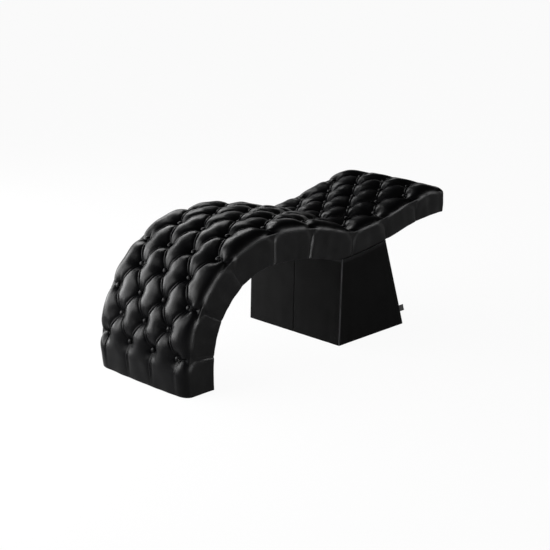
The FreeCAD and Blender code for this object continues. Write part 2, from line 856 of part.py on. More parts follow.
def side_outline(depth, gap):
    """Outline of a base side, set in from the front and head lines, hollowed to the underside."""
    front_top, front_along = FRONT.top(depth, gap)
    head_top, head_along = HEAD.top(depth, gap)
    front_floor, head_floor = FRONT.floor(depth), HEAD.floor(depth)
    top = backwards(UNDER.offset(-gap).curves(front_along, head_along))
    return [[front_floor, head_floor], [head_floor, head_top]] + top + [[front_top, front_floor]]


def wall_outline(wall, outer, inner, gap):
    """Outline of a board that follows one leaning wall between two depths."""
    return polygon([wall.floor(outer), wall.floor(inner), wall.top(inner, gap)[0], wall.top(outer, gap)[0]])


def rail_outline(wall, outer, inner, height):
    """Outline of a rail on the floor behind a leaning wall."""
    level = size("glide_height") + height
    return polygon([
        wall.floor(outer), wall.floor(inner),
        (wall.at(inner, height), level), (wall.at(outer, height), level),
    ])


def build_base(bolt_holes, glide_holes):
    """Base box under the seat hollow: posts, walls, covers, floor rails, bearers and label."""
    skin, board = size("base_cover"), size("base_board")
    gap, board_gap = size("body_gap"), size("board_gap")
    wall_in = skin + board
    post_in = wall_in + size("base_post")
    tool = screw_tool(size("screw_length"))
    side_cover = "sizes.bed_width / 2 + sizes.base_overhang - sizes.base_cover / 2"
    side_board = "sizes.bed_width / 2 + sizes.base_overhang - sizes.base_cover - sizes.base_board / 2"
    post_line = side_board + " - sizes.base_board / 2 - sizes.base_post / 2"
    inner = "sizes.bed_width + 2 * (sizes.base_overhang - sizes.base_cover - sizes.base_board)"
    between = inner + " - 2 * sizes.base_post"
    half_front = "sizes.bed_width / 2 + sizes.base_overhang - sizes.base_cover - sizes.cover_seam / 2"
    half_line = "(sizes.bed_width / 2 + sizes.base_overhang - sizes.base_cover + sizes.cover_seam / 2) / 2"

    screws = {-1: [], 1: []}
    corners = [(wall, side) for wall in (FRONT, HEAD) for side in (-1, 1)]
    for number, (wall, side) in enumerate(corners, 1):
        top = wall.top(post_in, size("post_gap"))[0][1] - size("glide_height")
        outline = wall_outline(wall, wall_in, post_in, size("post_gap"))
        across = post_line if side > 0 else f"-({post_line})"
        post = prism(f"post_bar_{number}", outline, "sizes.base_post", across)
        spots = []
        for step in range(SCREWS_PER_POST):
            height = top * (step + 0.5) / SCREWS_PER_POST
            x = wall.at(wall_in + size("base_post") / 2, height)
            spots.append(sideways(x, size("glide_height") + height, side, BOARD_HALF))
        screws[side] += spots
        label = f"base_corner_post_{number}"
        keep(label, drilled(label, post, [placed(tool, spot) for spot in spots]))

    sides = (("base_side_near", f"-({side_board})", -1), ("base_side_far", side_board, 1))
    for label, across, side in sides:
        wall_board = prism(label + "_board", side_outline(skin, gap), "sizes.base_board", across)
        keep(label, drilled(label, wall_board, [placed(tool, spot) for spot in screws[side]]))
    group("base_screws", screw_master("base_screw", "screw_length"), screws[-1] + screws[1])

    side_skins = (("base_side_cover_near", f"-({side_cover})"), ("base_side_cover_far", side_cover))
    for label, across in side_skins:
        keep(label, prism(label, side_outline(0.0, gap), "sizes.base_cover", across))
    keep("base_front_panel", prism("base_front_panel", wall_outline(FRONT, skin, wall_in, board_gap), inner))
    keep("base_head_panel", prism("base_head_panel", wall_outline(HEAD, skin, wall_in, board_gap), inner))
    front_skin = wall_outline(FRONT, 0.0, skin, gap)
    keep("base_front_cover_near", prism("base_front_cover_near", front_skin, half_front, f"-({half_line})"))
    keep("base_front_cover_far", prism("base_front_cover_far", front_skin, half_front, half_line))
    whole = "sizes.bed_width + 2 * (sizes.base_overhang - sizes.base_cover)"
    keep("base_head_cover", prism("base_head_cover", wall_outline(HEAD, 0.0, skin, gap), whole))

    rail_in = wall_in + size("floor_rail_width")
    for label, wall in (("base_floor_rail_front", FRONT), ("base_floor_rail_head", HEAD)):
        outline = rail_outline(wall, wall_in, rail_in, size("floor_rail_height"))
        rail = prism(label + "_bar", outline, between)
        keep(label, drilled(label, rail, glide_holes))
    for label, stop in zip(("bearer_front", "bearer_head"), BEARER_STOPS):
        place = under_placement(stop, -(gap + size("bearer_height") / 2))
        bearer = bar(label + "_bar", "sizes.bearer_width", inner, "sizes.bearer_height", place)
        keep(label, drilled(label, bearer, bolt_holes))

    rise = size("label_rise") - size("glide_height")
    low, high = HEAD.at(0, rise), HEAD.at(0, rise + size("label_height"))
    floor, reach = size("label_rise"), size("label_length")
    outline = polygon([
        (low, floor), (low + reach, floor),
        (high + reach, floor + size("label_height")), (high, floor + size("label_height")),
    ])
    keep("flag_label", prism("flag_label", outline, "sizes.label_thick", f"-({side_cover})"))


def bolt_places():
    """Placements of the four bolts, on the underside line with Z along each bolt."""
    places = []
    for stop in BEARER_STOPS:
        for side in (-1, 1):
            place = under_placement(stop, 0.0)
            place.Base = place.Base + Vector(0, side * size("bolt_spacing") / 2, 0)
            places.append(place)
    return places


def build_bolts(places):
    """Bolts from under the bearers into tee nuts on the seat rails; returns the holes that they need."""
    under = -(size("body_gap") + size("bearer_height"))
    seat = under - size("bolt_washer_thick")
    top = SEAT_RAIL_LEVEL + size("seat_rail_height") / 2
    bolt = size("bolt_radius")
    tip = top + size("tee_flange_thick")
    group("mount_bolts", turned("bolt", polygon([
        (0, seat - size("bolt_head_height")), (size("bolt_head_radius"), seat - size("bolt_head_height")),
        (size("bolt_head_radius"), seat), (bolt, seat), (bolt, tip), (0, tip),
    ])), places)
    hole, rim = size("bolt_hole_radius"), size("bolt_washer_radius")
    washer = polygon([(hole, seat), (rim, seat), (rim, under), (hole, under)])
    group("mount_washers", turned("bolt_washer", washer), places)
    gap = size("screw_gap")
    thread = bolt + gap
    barrel = size("tee_barrel_radius")
    group("tee_nuts", turned("tee_nut", polygon([
        (thread, top - size("tee_barrel_height")), (barrel, top - size("tee_barrel_height")), (barrel, top),
        (size("tee_flange_radius"), top), (size("tee_flange_radius"), tip), (thread, tip),
    ])), places)
    beyond = 2 * top
    through = cylinder(hole, 2 * seat, beyond)
    pocket = cylinder(barrel + gap, top - size("tee_barrel_height") - gap, beyond)
    return [placed(through, place) for place in places], [placed(pocket, place) for place in places]


def glide_places():
    """Placements of the base glides and of the foot glides, at floor level."""
    edge = HALF_WIDTH - size("glide_edge")
    rail_middle = size("base_cover") + size("base_board") + size("floor_rail_width") / 2
    base = [(FRONT.at(rail_middle, 0.0), side * edge) for side in (-1, 1)]
    base += [(HEAD.at(rail_middle, 0.0), side * edge) for side in (-1, 1)]
    foot_middle = -(size("arch_depth") + UNDER_FRAME - size("deck_ply")) / 2
    foot = [(foot_middle, side * edge) for side in (-1, 1)]
    return tuple([Placement(Vector(x, y, 0), Rotation()) for x, y in spots] for spots in (base, foot))


def build_glides():
    """Low glides under the base and the foot, each with one screw; returns the screw holes of both."""
    base, foot = glide_places()
    gap = size("screw_gap")
    head, shank = size("screw_head_radius") + gap, size("screw_radius") + gap
    level, radius = size("glide_height"), size("glide_radius")
    sink = level - size("screw_head_height")
    glide = turned("glide", polygon([
        (head, 0), (radius - sink, 0), (radius, sink), (radius, level), (shank, level), (head, sink),
    ]))
    group("base_glides", glide, base)
    group("foot_glides", glide, foot)
    lift = Vector(0, 0, sink)
    spots = [Placement(place.Base + lift, place.Rotation) for place in base + foot]
    group("glide_screws", screw_master("glide_screw", "glide_screw_length"), spots)
    tool = screw_tool(size("glide_screw_length"))
    holes = [placed(tool, spot) for spot in spots]
    return holes[:len(base)], holes[len(base):]


def shift_to_middle():
    """The move that puts the origin under the middle of the whole object."""
    boxes = [piece.Shape.BoundBox for piece in PIECES.values()]
    middle = (min(box.XMin for box in boxes) + max(box.XMax for box in boxes)) / 2
    return Vector(-middle, 0, 0)


def check_document():
    """Stop if an object failed or a piece has no good solid."""
    for obj in doc.Objects:
        if "Invalid" in obj.State or "Error" in obj.State:
            raise RuntimeError(f"{obj.Label} did not build: {obj.State}")
    for label, piece in PIECES.items():
        if piece.Shape.isNull() or not piece.Shape.isValid() or not piece.Shape.Solids:
            raise RuntimeError(f"{label} has no valid solid")


def main():
    """Build every piece and write one file for each."""
    bolt_holes, nut_pockets = build_bolts(bolt_places())
    base_holes, foot_holes = build_glides()
    build_upholstery()
    deck_holes = build_buttons()
    build_frame(deck_holes, bolt_holes + nut_pockets, foot_holes)
    build_base(bolt_holes, base_holes)
    doc.recompute()
    check_document()
    shift = shift_to_middle()
    os.makedirs("parts", exist_ok=True)
    for label, piece in PIECES.items():
        shape = piece.Shape.copy()
        shape.translate(shift)
        shape.exportStep(f"parts/{label}.step")
        print(label, len(shape.Solids), round(shape.Volume / 1000, 1), "cm3")


main()
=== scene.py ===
"""Looks of an eyelash extension bed: a tufted leather body on a leatherette covered box.

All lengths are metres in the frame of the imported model: +X runs from the foot to the head,
+Y to the far side and +Z up from the floor.
"""

from __future__ import annotations

import json
import logging
import math
from collections.abc import Sequence
from dataclasses import dataclass, replace
from enum import Enum

import bmesh
import bpy
import numpy as np
from mathutils import Matrix, Vector

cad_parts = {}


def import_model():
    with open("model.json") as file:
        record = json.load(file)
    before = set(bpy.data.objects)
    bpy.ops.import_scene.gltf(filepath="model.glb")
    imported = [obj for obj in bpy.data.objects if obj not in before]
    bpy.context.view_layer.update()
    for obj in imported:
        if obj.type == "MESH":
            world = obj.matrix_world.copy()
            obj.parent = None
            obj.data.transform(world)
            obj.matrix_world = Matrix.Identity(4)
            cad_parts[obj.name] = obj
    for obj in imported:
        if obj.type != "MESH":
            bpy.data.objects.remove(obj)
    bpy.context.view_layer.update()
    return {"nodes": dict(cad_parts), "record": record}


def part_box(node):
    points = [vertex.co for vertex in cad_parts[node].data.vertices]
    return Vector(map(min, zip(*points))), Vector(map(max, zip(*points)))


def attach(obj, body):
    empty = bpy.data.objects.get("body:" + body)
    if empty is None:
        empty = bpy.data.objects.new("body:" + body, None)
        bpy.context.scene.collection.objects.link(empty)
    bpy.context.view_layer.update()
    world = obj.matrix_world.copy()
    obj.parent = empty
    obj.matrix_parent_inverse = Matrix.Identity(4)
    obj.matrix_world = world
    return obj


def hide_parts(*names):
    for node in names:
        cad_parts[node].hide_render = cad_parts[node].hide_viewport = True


Array = np.ndarray
Material = bpy.types.Material
Piece = bpy.types.Object
Tree = bpy.types.NodeTree
Span = tuple[float, float, float, float, float]

LOG = logging.getLogger("lash_bed")
BODY = "root"
WHITE = (1.0, 1.0, 1.0, 1.0)
# Metres from band to band of a wave texture whose scale is 1.
WAVE_STEP = 0.314
# Points nearer than this are one point.
MERGE_DISTANCE = 1e-6
# Least length that a direction is divided by.
TINY = 1e-9


class Slot(Enum):
    """Material slots of the record."""

    TUFT = "tuft_leather"
    BASE = "base_leather"
    FOAM = "foam"
    TWINE = "twine"
    PLASTIC = "glide_plastic"
    CLOTH = "under_cloth"
    LABEL = "label_cloth"
    PLYWOOD = "plywood"
    SOFTWOOD = "softwood"
    ZINC = "zinc_steel"


def linear(code: str) -> tuple[float, float, float, float]:
    """Turn an sRGB hex colour into linear light.

    Args:
        code: Six hex digits.

    Returns:
        Red, green, blue and an alpha of one.
    """
    shares = [int(code[place:place + 2], 16) / 255 for place in (0, 2, 4)]
    lit = [share / 12.92 if share <= 0.04045 else ((share + 0.055) / 1.055) ** 2.4 for share in shares]
    return (lit[0], lit[1], lit[2], 1.0)


def add(tree: Tree, kind: str, settings: dict | None = None, links: dict | None = None) -> bpy.types.Node:
    """Add one node to a tree.

    Args:
        tree: The node tree.
        kind: The node's type name.
        settings: Node properties by name, or socket values where the name is a socket's.
        links: Output sockets to join, by the input socket's name or number.

    Returns:
        The new node.
    """
    node = tree.nodes.new(kind)
    for name, value in (settings or {}).items():
        if isinstance(name, str) and hasattr(node, name):
            setattr(node, name, value)
        else:
            node.inputs[name].default_value = value
    for name, output in (links or {}).items():
        tree.links.new(output, node.inputs[name])
    return node


def blank_material(name: str) -> tuple[Material, Tree]:
    """Make a material with an empty node tree.

    Args:
        name: The material's name.

    Returns:
        The material and its tree.
    """
    material = bpy.data.materials.new(name)
    material.use_nodes = True
    material.node_tree.nodes.clear()
    return material, material.node_tree


@dataclass(frozen=True)
class Leather:
    """Coated fabric embossed with a fine hide grain.

    The two colours mix by painted light: the face colour on crowns and as a painted highlight along edges,
    the fold colour as painted shade in folds and as the plain colour elsewhere.
    """

    name: str
    face: str
    fold: str
    roughness: float
    specular: float
    grain: float
    grain_depth: float
    blotch: float
    cloud: float = 0.11
    cloud_low: float = 0.3
    cloud_high: float = 0.7
    glossier: float = 0.05
    duller: float = 0.06
    fine_lines: float = 2.2
    fine_share: float = 0.35
    emboss: float = 0.35

    def make(self) -> Material:
        """Build the material: colour by painted light and random blotches, cloudy gloss and an embossed
        grain.

        Returns:
            The material.
        """
        material, tree = blank_material(self.name)
        place = {"Vector": add(tree, "ShaderNodeTexCoord").outputs["Object"]}
        # Clouds of 110 mm, like the patches that handling leaves in the gloss of a coating.
        cloud = add(
            tree, "ShaderNodeTexNoise", {"Scale": 1 / self.cloud, "Detail": 3.0, "Roughness": 0.55}, place
        )
        cells = add(
            tree, "ShaderNodeTexVoronoi",
            {"feature": "SMOOTH_F1", "Scale": 1 / self.grain, "Smoothness": 0.6}, place,
        )
        fine = add(tree, "ShaderNodeTexNoise", {"Scale": self.fine_lines / self.grain, "Detail": 2.0}, place)
        relief = add(
            tree, "ShaderNodeMath", {"operation": "MULTIPLY_ADD", 1: self.fine_share},
            {0: fine.outputs["Fac"], 2: cells.outputs["Distance"]},
        )
        bump = add(
            tree, "ShaderNodeBump", {"Strength": self.emboss, "Distance": self.grain_depth},
            {"Height": relief.outputs[0]},
        )
        gloss = add(
            tree, "ShaderNodeMapRange",
            {
                "From Min": self.cloud_low, "From Max": self.cloud_high,
                "To Min": self.roughness - self.glossier, "To Max": self.roughness + self.duller,
            },
            {"Value": cloud.outputs["Fac"]},
        )
        # Painted light from a vertex attribute: painted shade in folds and pits, painted highlight on edges;
        # random blotches are added to it.
        wear = add(tree, "ShaderNodeAttribute", {"attribute_name": "wear"})
        painted_light_and_blotch = add(
            tree, "ShaderNodeMath", {"operation": "MULTIPLY_ADD", 1: self.blotch, "use_clamp": True},
            {0: cloud.outputs["Fac"], 2: wear.outputs["Fac"]},
        )
        shade = add(
            tree, "ShaderNodeMix", {"data_type": "RGBA", 6: linear(self.fold), 7: linear(self.face)},
            {0: painted_light_and_blotch.outputs[0]},
        )
        surface = add(
            tree, "ShaderNodeBsdfPrincipled", {"Specular IOR Level": self.specular, "IOR": 1.5},
            {
                "Base Color": shade.outputs[2], "Roughness": gloss.outputs["Result"],
                "Normal": bump.outputs["Normal"],
            },
        )
        add(tree, "ShaderNodeOutputMaterial", links={"Surface": surface.outputs["BSDF"]})
        return material


@dataclass(frozen=True)
class Woven:
    """Plain woven cloth: crossed threads of one colour, matt, with a slight fuzz."""

    name: str
    light: str
    dark: str
    thread: float
    roughness: float
    unevenness: float = 0.6
    relief: float = 0.5
    crimp: float = 0.4
    specular: float = 0.2
    fuzz: float = 0.15

    def make(self) -> Material:
        """Build the material from two crossed sets of thread waves on the piece's own flat places.

        Returns:
            The material.
        """
        material, tree = blank_material(self.name)
        place = add(tree, "ShaderNodeAttribute", {"attribute_name": "weave"}).outputs["Vector"]
        waves = []
        for axis in ("X", "Y"):
            threads = {
                "bands_direction": axis, "Scale": WAVE_STEP / self.thread, "Distortion": self.unevenness,
                "Detail": 1.0, "Detail Scale": 2.0,
            }
            waves.append(add(tree, "ShaderNodeTexWave", threads, {"Vector": place}).outputs["Fac"])
        weave = add(tree, "ShaderNodeMath", {"operation": "MULTIPLY"}, {0: waves[0], 1: waves[1]})
        tone = add(
            tree, "ShaderNodeMix", {"data_type": "RGBA", 6: linear(self.dark), 7: linear(self.light)},
            {0: weave.outputs[0]},
        )
        bump = add(
            tree, "ShaderNodeBump", {"Strength": self.relief, "Distance": self.thread * self.crimp},
            {"Height": weave.outputs[0]},
        )
        surface = add(
            tree, "ShaderNodeBsdfPrincipled",
            {
                "Roughness": self.roughness, "Specular IOR Level": self.specular,
                "Sheen Weight": self.fuzz, "Sheen Roughness": 0.5,
            },
            {"Base Color": tone.outputs[2], "Normal": bump.outputs["Normal"]},
        )
        add(tree, "ShaderNodeOutputMaterial", links={"Surface": surface.outputs["BSDF"]})
        return material


@dataclass(frozen=True)
class Timber:
    """Sawn wood: growth rings stretched along the board, matt."""

    name: str
    early: str
    late: str
    ring: float
    stretch: float
    waviness: float = 5.0
    pore: float = 0.0012
    pore_depth: float = 0.0004
    relief: float = 0.2
    roughness: float = 0.62
    specular: float = 0.3

    def make(self) -> Material:
        """Build the material from noise that is stretched along X and sliced into rings.

        Returns:
            The material.
        """
        material, tree = blank_material(self.name)
        place = add(tree, "ShaderNodeTexCoord").outputs["Object"]
        turned = add(tree, "ShaderNodeMapping", {"Scale": (1 / self.stretch, 1.0, 1.0)}, {"Vector": place})
        board = {"Vector": turned.outputs["Vector"]}
        rings = add(
            tree, "ShaderNodeTexWave",
            {
                "bands_direction": "Z", "wave_profile": "SAW", "Scale": WAVE_STEP / self.ring,
                "Distortion": self.waviness, "Detail": 3.0, "Detail Scale": 1.2,
            },
            board,
        )
        # Pores of about 0.1 mm are drawn at 1.2 mm, so that they show.
        pores = add(tree, "ShaderNodeTexNoise", {"Scale": 1 / self.pore, "Detail": 2.0}, board)
        blend = add(
            tree, "ShaderNodeMath", {"operation": "MULTIPLY"},
            {0: rings.outputs["Fac"], 1: pores.outputs["Fac"]},
        )
        tone = add(
            tree, "ShaderNodeMix", {"data_type": "RGBA", 6: linear(self.early), 7: linear(self.late)},
            {0: blend.outputs[0]},
        )
        bump = add(
            tree, "ShaderNodeBump", {"Strength": self.relief, "Distance": self.pore_depth},
            {"Height": pores.outputs["Fac"]},
        )
        surface = add(
            tree, "ShaderNodeBsdfPrincipled",
            {"Roughness": self.roughness, "Specular IOR Level": self.specular},
            {"Base Color": tone.outputs[2], "Normal": bump.outputs["Normal"]},
        )
        add(tree, "ShaderNodeOutputMaterial", links={"Surface": surface.outputs["BSDF"]})
        return material


@dataclass(frozen=True)
class Grained:
    """A stock with an even fine grain: cut foam, moulded plastic, plated steel or twisted twine."""

    name: str
    light: str
    dark: str
    grain: float
    depth: float
    roughness: float
    metallic: float = 0.0
    gloss_spread: float = 0.06
    relief: float = 0.3

    def make(self) -> Material:
        """Build the material from one fine noise in colour, gloss and relief.

        Returns:
            The material.
        """
        material, tree = blank_material(self.name)
        place = add(tree, "ShaderNodeTexCoord").outputs["Object"]
        noise = add(
            tree, "ShaderNodeTexNoise", {"Scale": 1 / self.grain, "Detail": 3.0, "Roughness": 0.6},
            {"Vector": place},
        ).outputs["Fac"]
        tone = add(
            tree, "ShaderNodeMix", {"data_type": "RGBA", 6: linear(self.dark), 7: linear(self.light)},
            {0: noise},
        )
        gloss = add(
            tree, "ShaderNodeMapRange",
            {"To Min": self.roughness - self.gloss_spread, "To Max": self.roughness + self.gloss_spread},
            {"Value": noise},
        )
        bump = add(
            tree, "ShaderNodeBump", {"Strength": self.relief, "Distance": self.depth}, {"Height": noise}
        )
        surface = add(
            tree, "ShaderNodeBsdfPrincipled", {"Metallic": self.metallic},
            {
                "Base Color": tone.outputs[2], "Roughness": gloss.outputs["Result"],
                "Normal": bump.outputs["Normal"],
            },
        )
        add(tree, "ShaderNodeOutputMaterial", links={"Surface": surface.outputs["BSDF"]})
        return material


# Polyurethane coated cloth, rolled with a hide grain: broad satin lights on the pillows; its darker fold
# colour is painted shade in the folds and pits.
# Its grain of about 0.8 mm is drawn at 1.6 mm, so that it shows.
TUFT_LEATHER = Leather("satin_faux_leather", "080809", "030304", 0.33, 0.05, 0.0016, 0.00025, 0.3)
# Vinyl coated cloth, rolled smooth and stretched over boards: flat and dull; its pale face colour is a
# painted highlight along the corner edges and the top rim.
# Its grain of about 0.6 mm is drawn at 1.3 mm, so that it shows.
BASE_LEATHER = Leather("smooth_leatherette", "6a6a6c", "111111", 0.40, 0.012, 0.0013, 0.0002, 0.02)
# Loosely woven polypropylene: a dull dark net of threads.
# Threads of about 0.9 mm are drawn at 2.4 mm, so that they show.
DUST_CLOTH = Woven("woven_dust_cloth", "222224", "0c0c0d", 0.0024, 0.85)
# Tightly woven polyester tape: a plain dark ribbon with threads of 0.5 mm.
LABEL_CLOTH = Woven("woven_label_tape", "2a2a2c", "101012", 0.0005, 0.7)
# Rotary cut birch veneer: pale and even, with a faint long figure of 6 mm.
PLYWOOD = Timber("birch_plywood", "d8b98a", "b08a5a", 0.006, 14.0)
# Sawn and planed spruce: pale yellow with growth rings of 5 mm.
SOFTWOOD = Timber("planed_softwood", "dfc08c", "b98a54", 0.005, 18.0)
# Open cell polyurethane, cut by wire: pale yellow without any shine.
# Cells of about 0.6 mm are drawn at 1.2 mm, so that they show.
FOAM = Grained("cut_upholstery_foam", "ecdfb4", "cdbb88", 0.0012, 0.0006, 0.9)
# Polypropylene from an etched mould: black with a fine even dullness.
# The etching of about 0.1 mm is drawn at 0.8 mm, so that it shows.
PLASTIC = Grained("moulded_black_plastic", "18181a", "0e0e10", 0.0008, 0.0001, 0.45)
# Steel with a bright zinc plating: light grey metal, clouded in patches of 4 mm.
ZINC = Grained("zinc_plated_steel", "c9c9c4", "a3a39e", 0.004, 0.00005, 0.32, 1.0)
# Twisted nylon drawn through wax: nearly black, dull, with a lay of 0.6 mm.
TWINE = Grained("waxed_tufting_twine", "2a2825", "141312", 0.0006, 0.0002, 0.6)

FINISHES: dict[Slot, Leather | Woven | Timber | Grained] = {
    Slot.TUFT: TUFT_LEATHER,
    Slot.BASE: BASE_LEATHER,
    Slot.FOAM: FOAM,
    Slot.TWINE: TWINE,
    Slot.PLASTIC: PLASTIC,
    Slot.CLOTH: DUST_CLOTH,
    Slot.LABEL: LABEL_CLOTH,
    Slot.PLYWOOD: PLYWOOD,
    Slot.SOFTWOOD: SOFTWOOD,
    Slot.ZINC: ZINC,
}


class Guide:
    """A line of tangent straight runs and arcs in the XZ plane, measured from the floor at the foot."""

    def __init__(self, start: tuple[float, float], heading: float, runs: list[tuple[float, float]]) -> None:
        """Lay the runs end to end.

        Args:
            start: X and Z of the first point.
            heading: Direction there, in radians from +X towards +Z.
            runs: Length and radius of each run; radius 0 is straight, positive turns left.
        """
        self.spans: list[Span] = []
        x, z = start
        for length, radius in runs:
            self.spans.append((x, z, heading, length, radius))
            x, z, heading = (float(value) for value in self._step(self.spans[-1], np.array(length)))
        self.length = sum(span[3] for span in self.spans)

    @staticmethod
    def _step(span: Span, along: Array) -> tuple[Array, Array, Array]:
        """Find points in one span.

        Args:
            span: X, Z and heading where it starts, its length and its radius.
            along: Distances from its start.

        Returns:
            X, Z and heading at each.
        """
        x, z, heading, _, radius = span
        if not radius:
            return x + along * math.cos(heading), z + along * math.sin(heading), heading + 0.0 * along
        turned = heading + along / radius
        ahead = radius * (np.sin(turned) - math.sin(heading))
        return x + ahead, z - radius * (np.cos(turned) - math.cos(heading)), turned

    def at(self, distance: Array) -> tuple[Array, Array, Array]:
        """Find points on the line.

        Args:
            distance: Distances along the line.

        Returns:
            X, Z and heading at each.
        """
        distance = np.asarray(distance, float)
        x, z, heading = self._step(self.spans[0], distance)
        begin = self.spans[0][3]
        for span in self.spans[1:]:
            beyond = distance >= begin
            step = self._step(span, distance - begin)
            x, z, heading = (np.where(beyond, new, old) for new, old in zip(step, (x, z, heading)))
            begin += span[3]
        return x, z, heading


@dataclass
class BodyPlan:
    """Guide lines and tufting plan of the body, shared by its soft pieces."""

    origin: float
    width: float = 0.620
    clearance: float = 0.004
    foot_rise: float = 0.116
    arch_radius: float = 0.390
    crest_radius: float = 1.300
    crest_turn: float = 14.3
    fall_length: float = 0.097
    hollow_radius: float = 0.220
    hollow_turn: float = 18.4
    back_radius: float = 2.650
    back_turn: float = 9.6
    head_radius: float = 1.150
    head_turn: float = 15.2
    arch_depth: float = 0.140
    back_depth: float = 0.106
    deck_fall_turn: float = 16.5
    deck_hollow_radius: float = 0.250
    edge_rows: tuple[float, ...] = (0.170, 0.394, 0.647, 0.935, 1.196, 1.495, 1.725, 1.964)
    last_row_step: float = 0.121
    edge_margin: float = 0.0655
    row_buttons: int = 4
    crown: float = 0.051
    button_dip: float = 0.035
    depth_range: tuple[float, float] = (0.02, 0.3)
    depth_probes: int = 6000

    def __post_init__(self) -> None:
        """Lay out the guide lines and the rows of buttons."""
        self.under = self._under_line()
        self.deck = self._deck_line()
        self.half = self.width / 2
        self.pitch = (self.width - 2 * self.edge_margin) / (self.row_buttons - 1)
        rows: list[float] = []
        for here, after in zip(self.edge_rows, self.edge_rows[1:]):
            rows += [here, (here + after) / 2]
        self.rows = rows + [self.edge_rows[-1], self.edge_rows[-1] + self.last_row_step]

    def _under_line(self) -> Guide:
        """Lay the underside, from the floor over the arch and the seat hollow to the head.

        Returns:
            Its line.
        """
        runs = [
            (self.foot_rise, 0.0),
            (self.arch_radius * math.pi / 2, -self.arch_radius),
            (self.crest_radius * math.radians(self.crest_turn), -self.crest_radius),
            (self.fall_length, 0.0),
            (self.hollow_radius * math.radians(self.hollow_turn), self.hollow_radius),
            (self.back_radius * math.radians(self.back_turn), self.back_radius),
            (self.head_radius * math.radians(self.head_turn), -self.head_radius),
        ]
        return Guide((self.origin, self.clearance), math.pi / 2, runs)

    def _deck_line(self) -> Guide:
        """Lay the deck under the foam, parallel to the underside but softer in the hollow.

        Returns:
            Its line.
        """
        arch = self.arch_radius + self.arch_depth
        crest = self.crest_radius + self.arch_depth
        hollow = self.deck_hollow_radius
        back = self.back_radius - self.back_depth
        head = self.head_radius + self.back_depth
        fall = math.radians(self.deck_fall_turn)
        crest_x, crest_z = self.under.spans[2][:2]
        back_x, back_z, back_heading = self.under.spans[5][:3]
        back_center = Vector((
            back_x - self.back_radius * math.sin(back_heading),
            back_z + self.back_radius * math.cos(back_heading),
        ))
        ahead = Vector((math.cos(fall), -math.sin(fall)))
        side = Vector((math.sin(fall), math.cos(fall)))
        begin = Vector((crest_x, crest_z - self.crest_radius)) + (crest + hollow) * side - back_center
        half = begin.dot(ahead)
        run = -half + math.sqrt(half * half - begin.length_squared + (back - hollow) ** 2)
        center = begin + run * ahead
        join = math.atan2(center.x, -center.y)
        runs = [
            (self.foot_rise, 0.0),
            (arch * math.pi / 2, -arch),
            (crest * fall, -crest),
            (run, 0.0),
            (hollow * (fall + join), hollow),
            (back * (back_heading + math.radians(self.back_turn) - join), back),
            (head * math.radians(self.head_turn), -head),
        ]
        return Guide((self.origin - self.arch_depth, self.clearance), math.pi / 2, runs)

    def depth(self, stations: Array) -> Array:
        """Measure from the deck down to the underside, square to the deck.

        Args:
            stations: Distances along the deck.

        Returns:
            The depth at each station.
        """
        x, z, heading = self.deck.at(stations)
        along = np.linspace(0.0, self.under.length, self.depth_probes)
        ux, uz, _ = self.under.at(along)
        nx, nz = -np.sin(heading), np.cos(heading)
        gap_x, gap_z = ux[None, :] - x[:, None], uz[None, :] - z[:, None]
        aside = np.abs(gap_x * nz[:, None] - gap_z * nx[:, None])
        down = -(gap_x * nx[:, None] + gap_z * nz[:, None])
        aside[(down < self.depth_range[0]) | (down > self.depth_range[1])] = np.inf
        best = aside.argmin(axis=1)
        return down[np.arange(len(stations)), best]

    def place(self, s: Array, across: Array, height: Array) -> Array:
        """Points in the frame for distances along the deck, places across and heights over it."""
        x, z, heading = self.deck.at(np.broadcast_to(s, across.shape))
        return np.stack([x - np.sin(heading) * height, across, z + np.cos(heading) * height], axis=-1)

    def columns(self, row: int) -> list[float]:
        """Places of one row's buttons across the bed."""
        count = self.row_buttons - row % 2
        return [self.pitch * (number - (count - 1) / 2) for number in range(count)]

    def buttons(self) -> list[tuple[float, float]]:
        """Station and place across of every button."""
        return [(station, across) for row, station in enumerate(self.rows) for across in self.columns(row)]


def graded(count: int, share: float) -> Array:
    """Split a run into steps that are finer at both ends.

    Args:
        count: Number of steps.
        share: How strongly the ends are refined, from 0 to 1.

    Returns:
        Places from 0 to 1.
    """
    even = np.linspace(0.0, 1.0, count + 1)
    return (1 - share) * even + share * (1 - np.cos(np.pi * even)) / 2


def smooth(value: Array, low: float, high: float) -> Array:
    """Rise smoothly from 0 at low to 1 at high."""
    share = np.clip((value - low) / (high - low), 0.0, 1.0)
    return share * share * (3 - 2 * share)


class Ripples:
    """Seeded smooth noise made of waves in two directions."""

    PACES = (0.5, 1.5)

    def __init__(self, seed: int, length_a: float, length_b: float, waves: int = 24) -> None:
        """Choose the waves.

        Args:
            seed: Seed of the draw.
            length_a: Typical wave length in the first direction.
            length_b: Typical wave length in the second direction.
            waves: Number of waves.
        """
        rng = np.random.default_rng(seed)
        turn = rng.uniform(0, 2 * np.pi, waves)
        pace = rng.uniform(*self.PACES, waves) * 2 * np.pi
        self.a = pace * np.cos(turn) / length_a
        self.b = pace * np.sin(turn) / length_b
        self.phase = rng.uniform(0, 2 * np.pi, waves)

    def at(self, a: Array, b: Array) -> Array:
        """Add up the waves.

        Args:
            a: Places in the first direction.
            b: Places in the second direction.

        Returns:
            Noise of about unit size at each place.
        """
        total = np.zeros(np.broadcast(a, b).shape)
        for pace_a, pace_b, phase in zip(self.a, self.b, self.phase):
            total += np.sin(pace_a * a + pace_b * b + phase)
        return total / math.sqrt(len(self.phase) / 2)


def deepest_near(sink: Array, reach: int) -> Array:
    """Widen every hollow of a grid to its neighbours.

    Args:
        sink: Depths, rows by columns.
        reach: Number of neighbours on each side.

    Returns:
        The deepest value near each place.
    """
    rows, columns = sink.shape
    held = np.pad(sink, reach, mode="edge")
    steps = range(2 * reach + 1)
    return np.max([held[down:down + rows, over:over + columns] for down in steps for over in steps], axis=0)


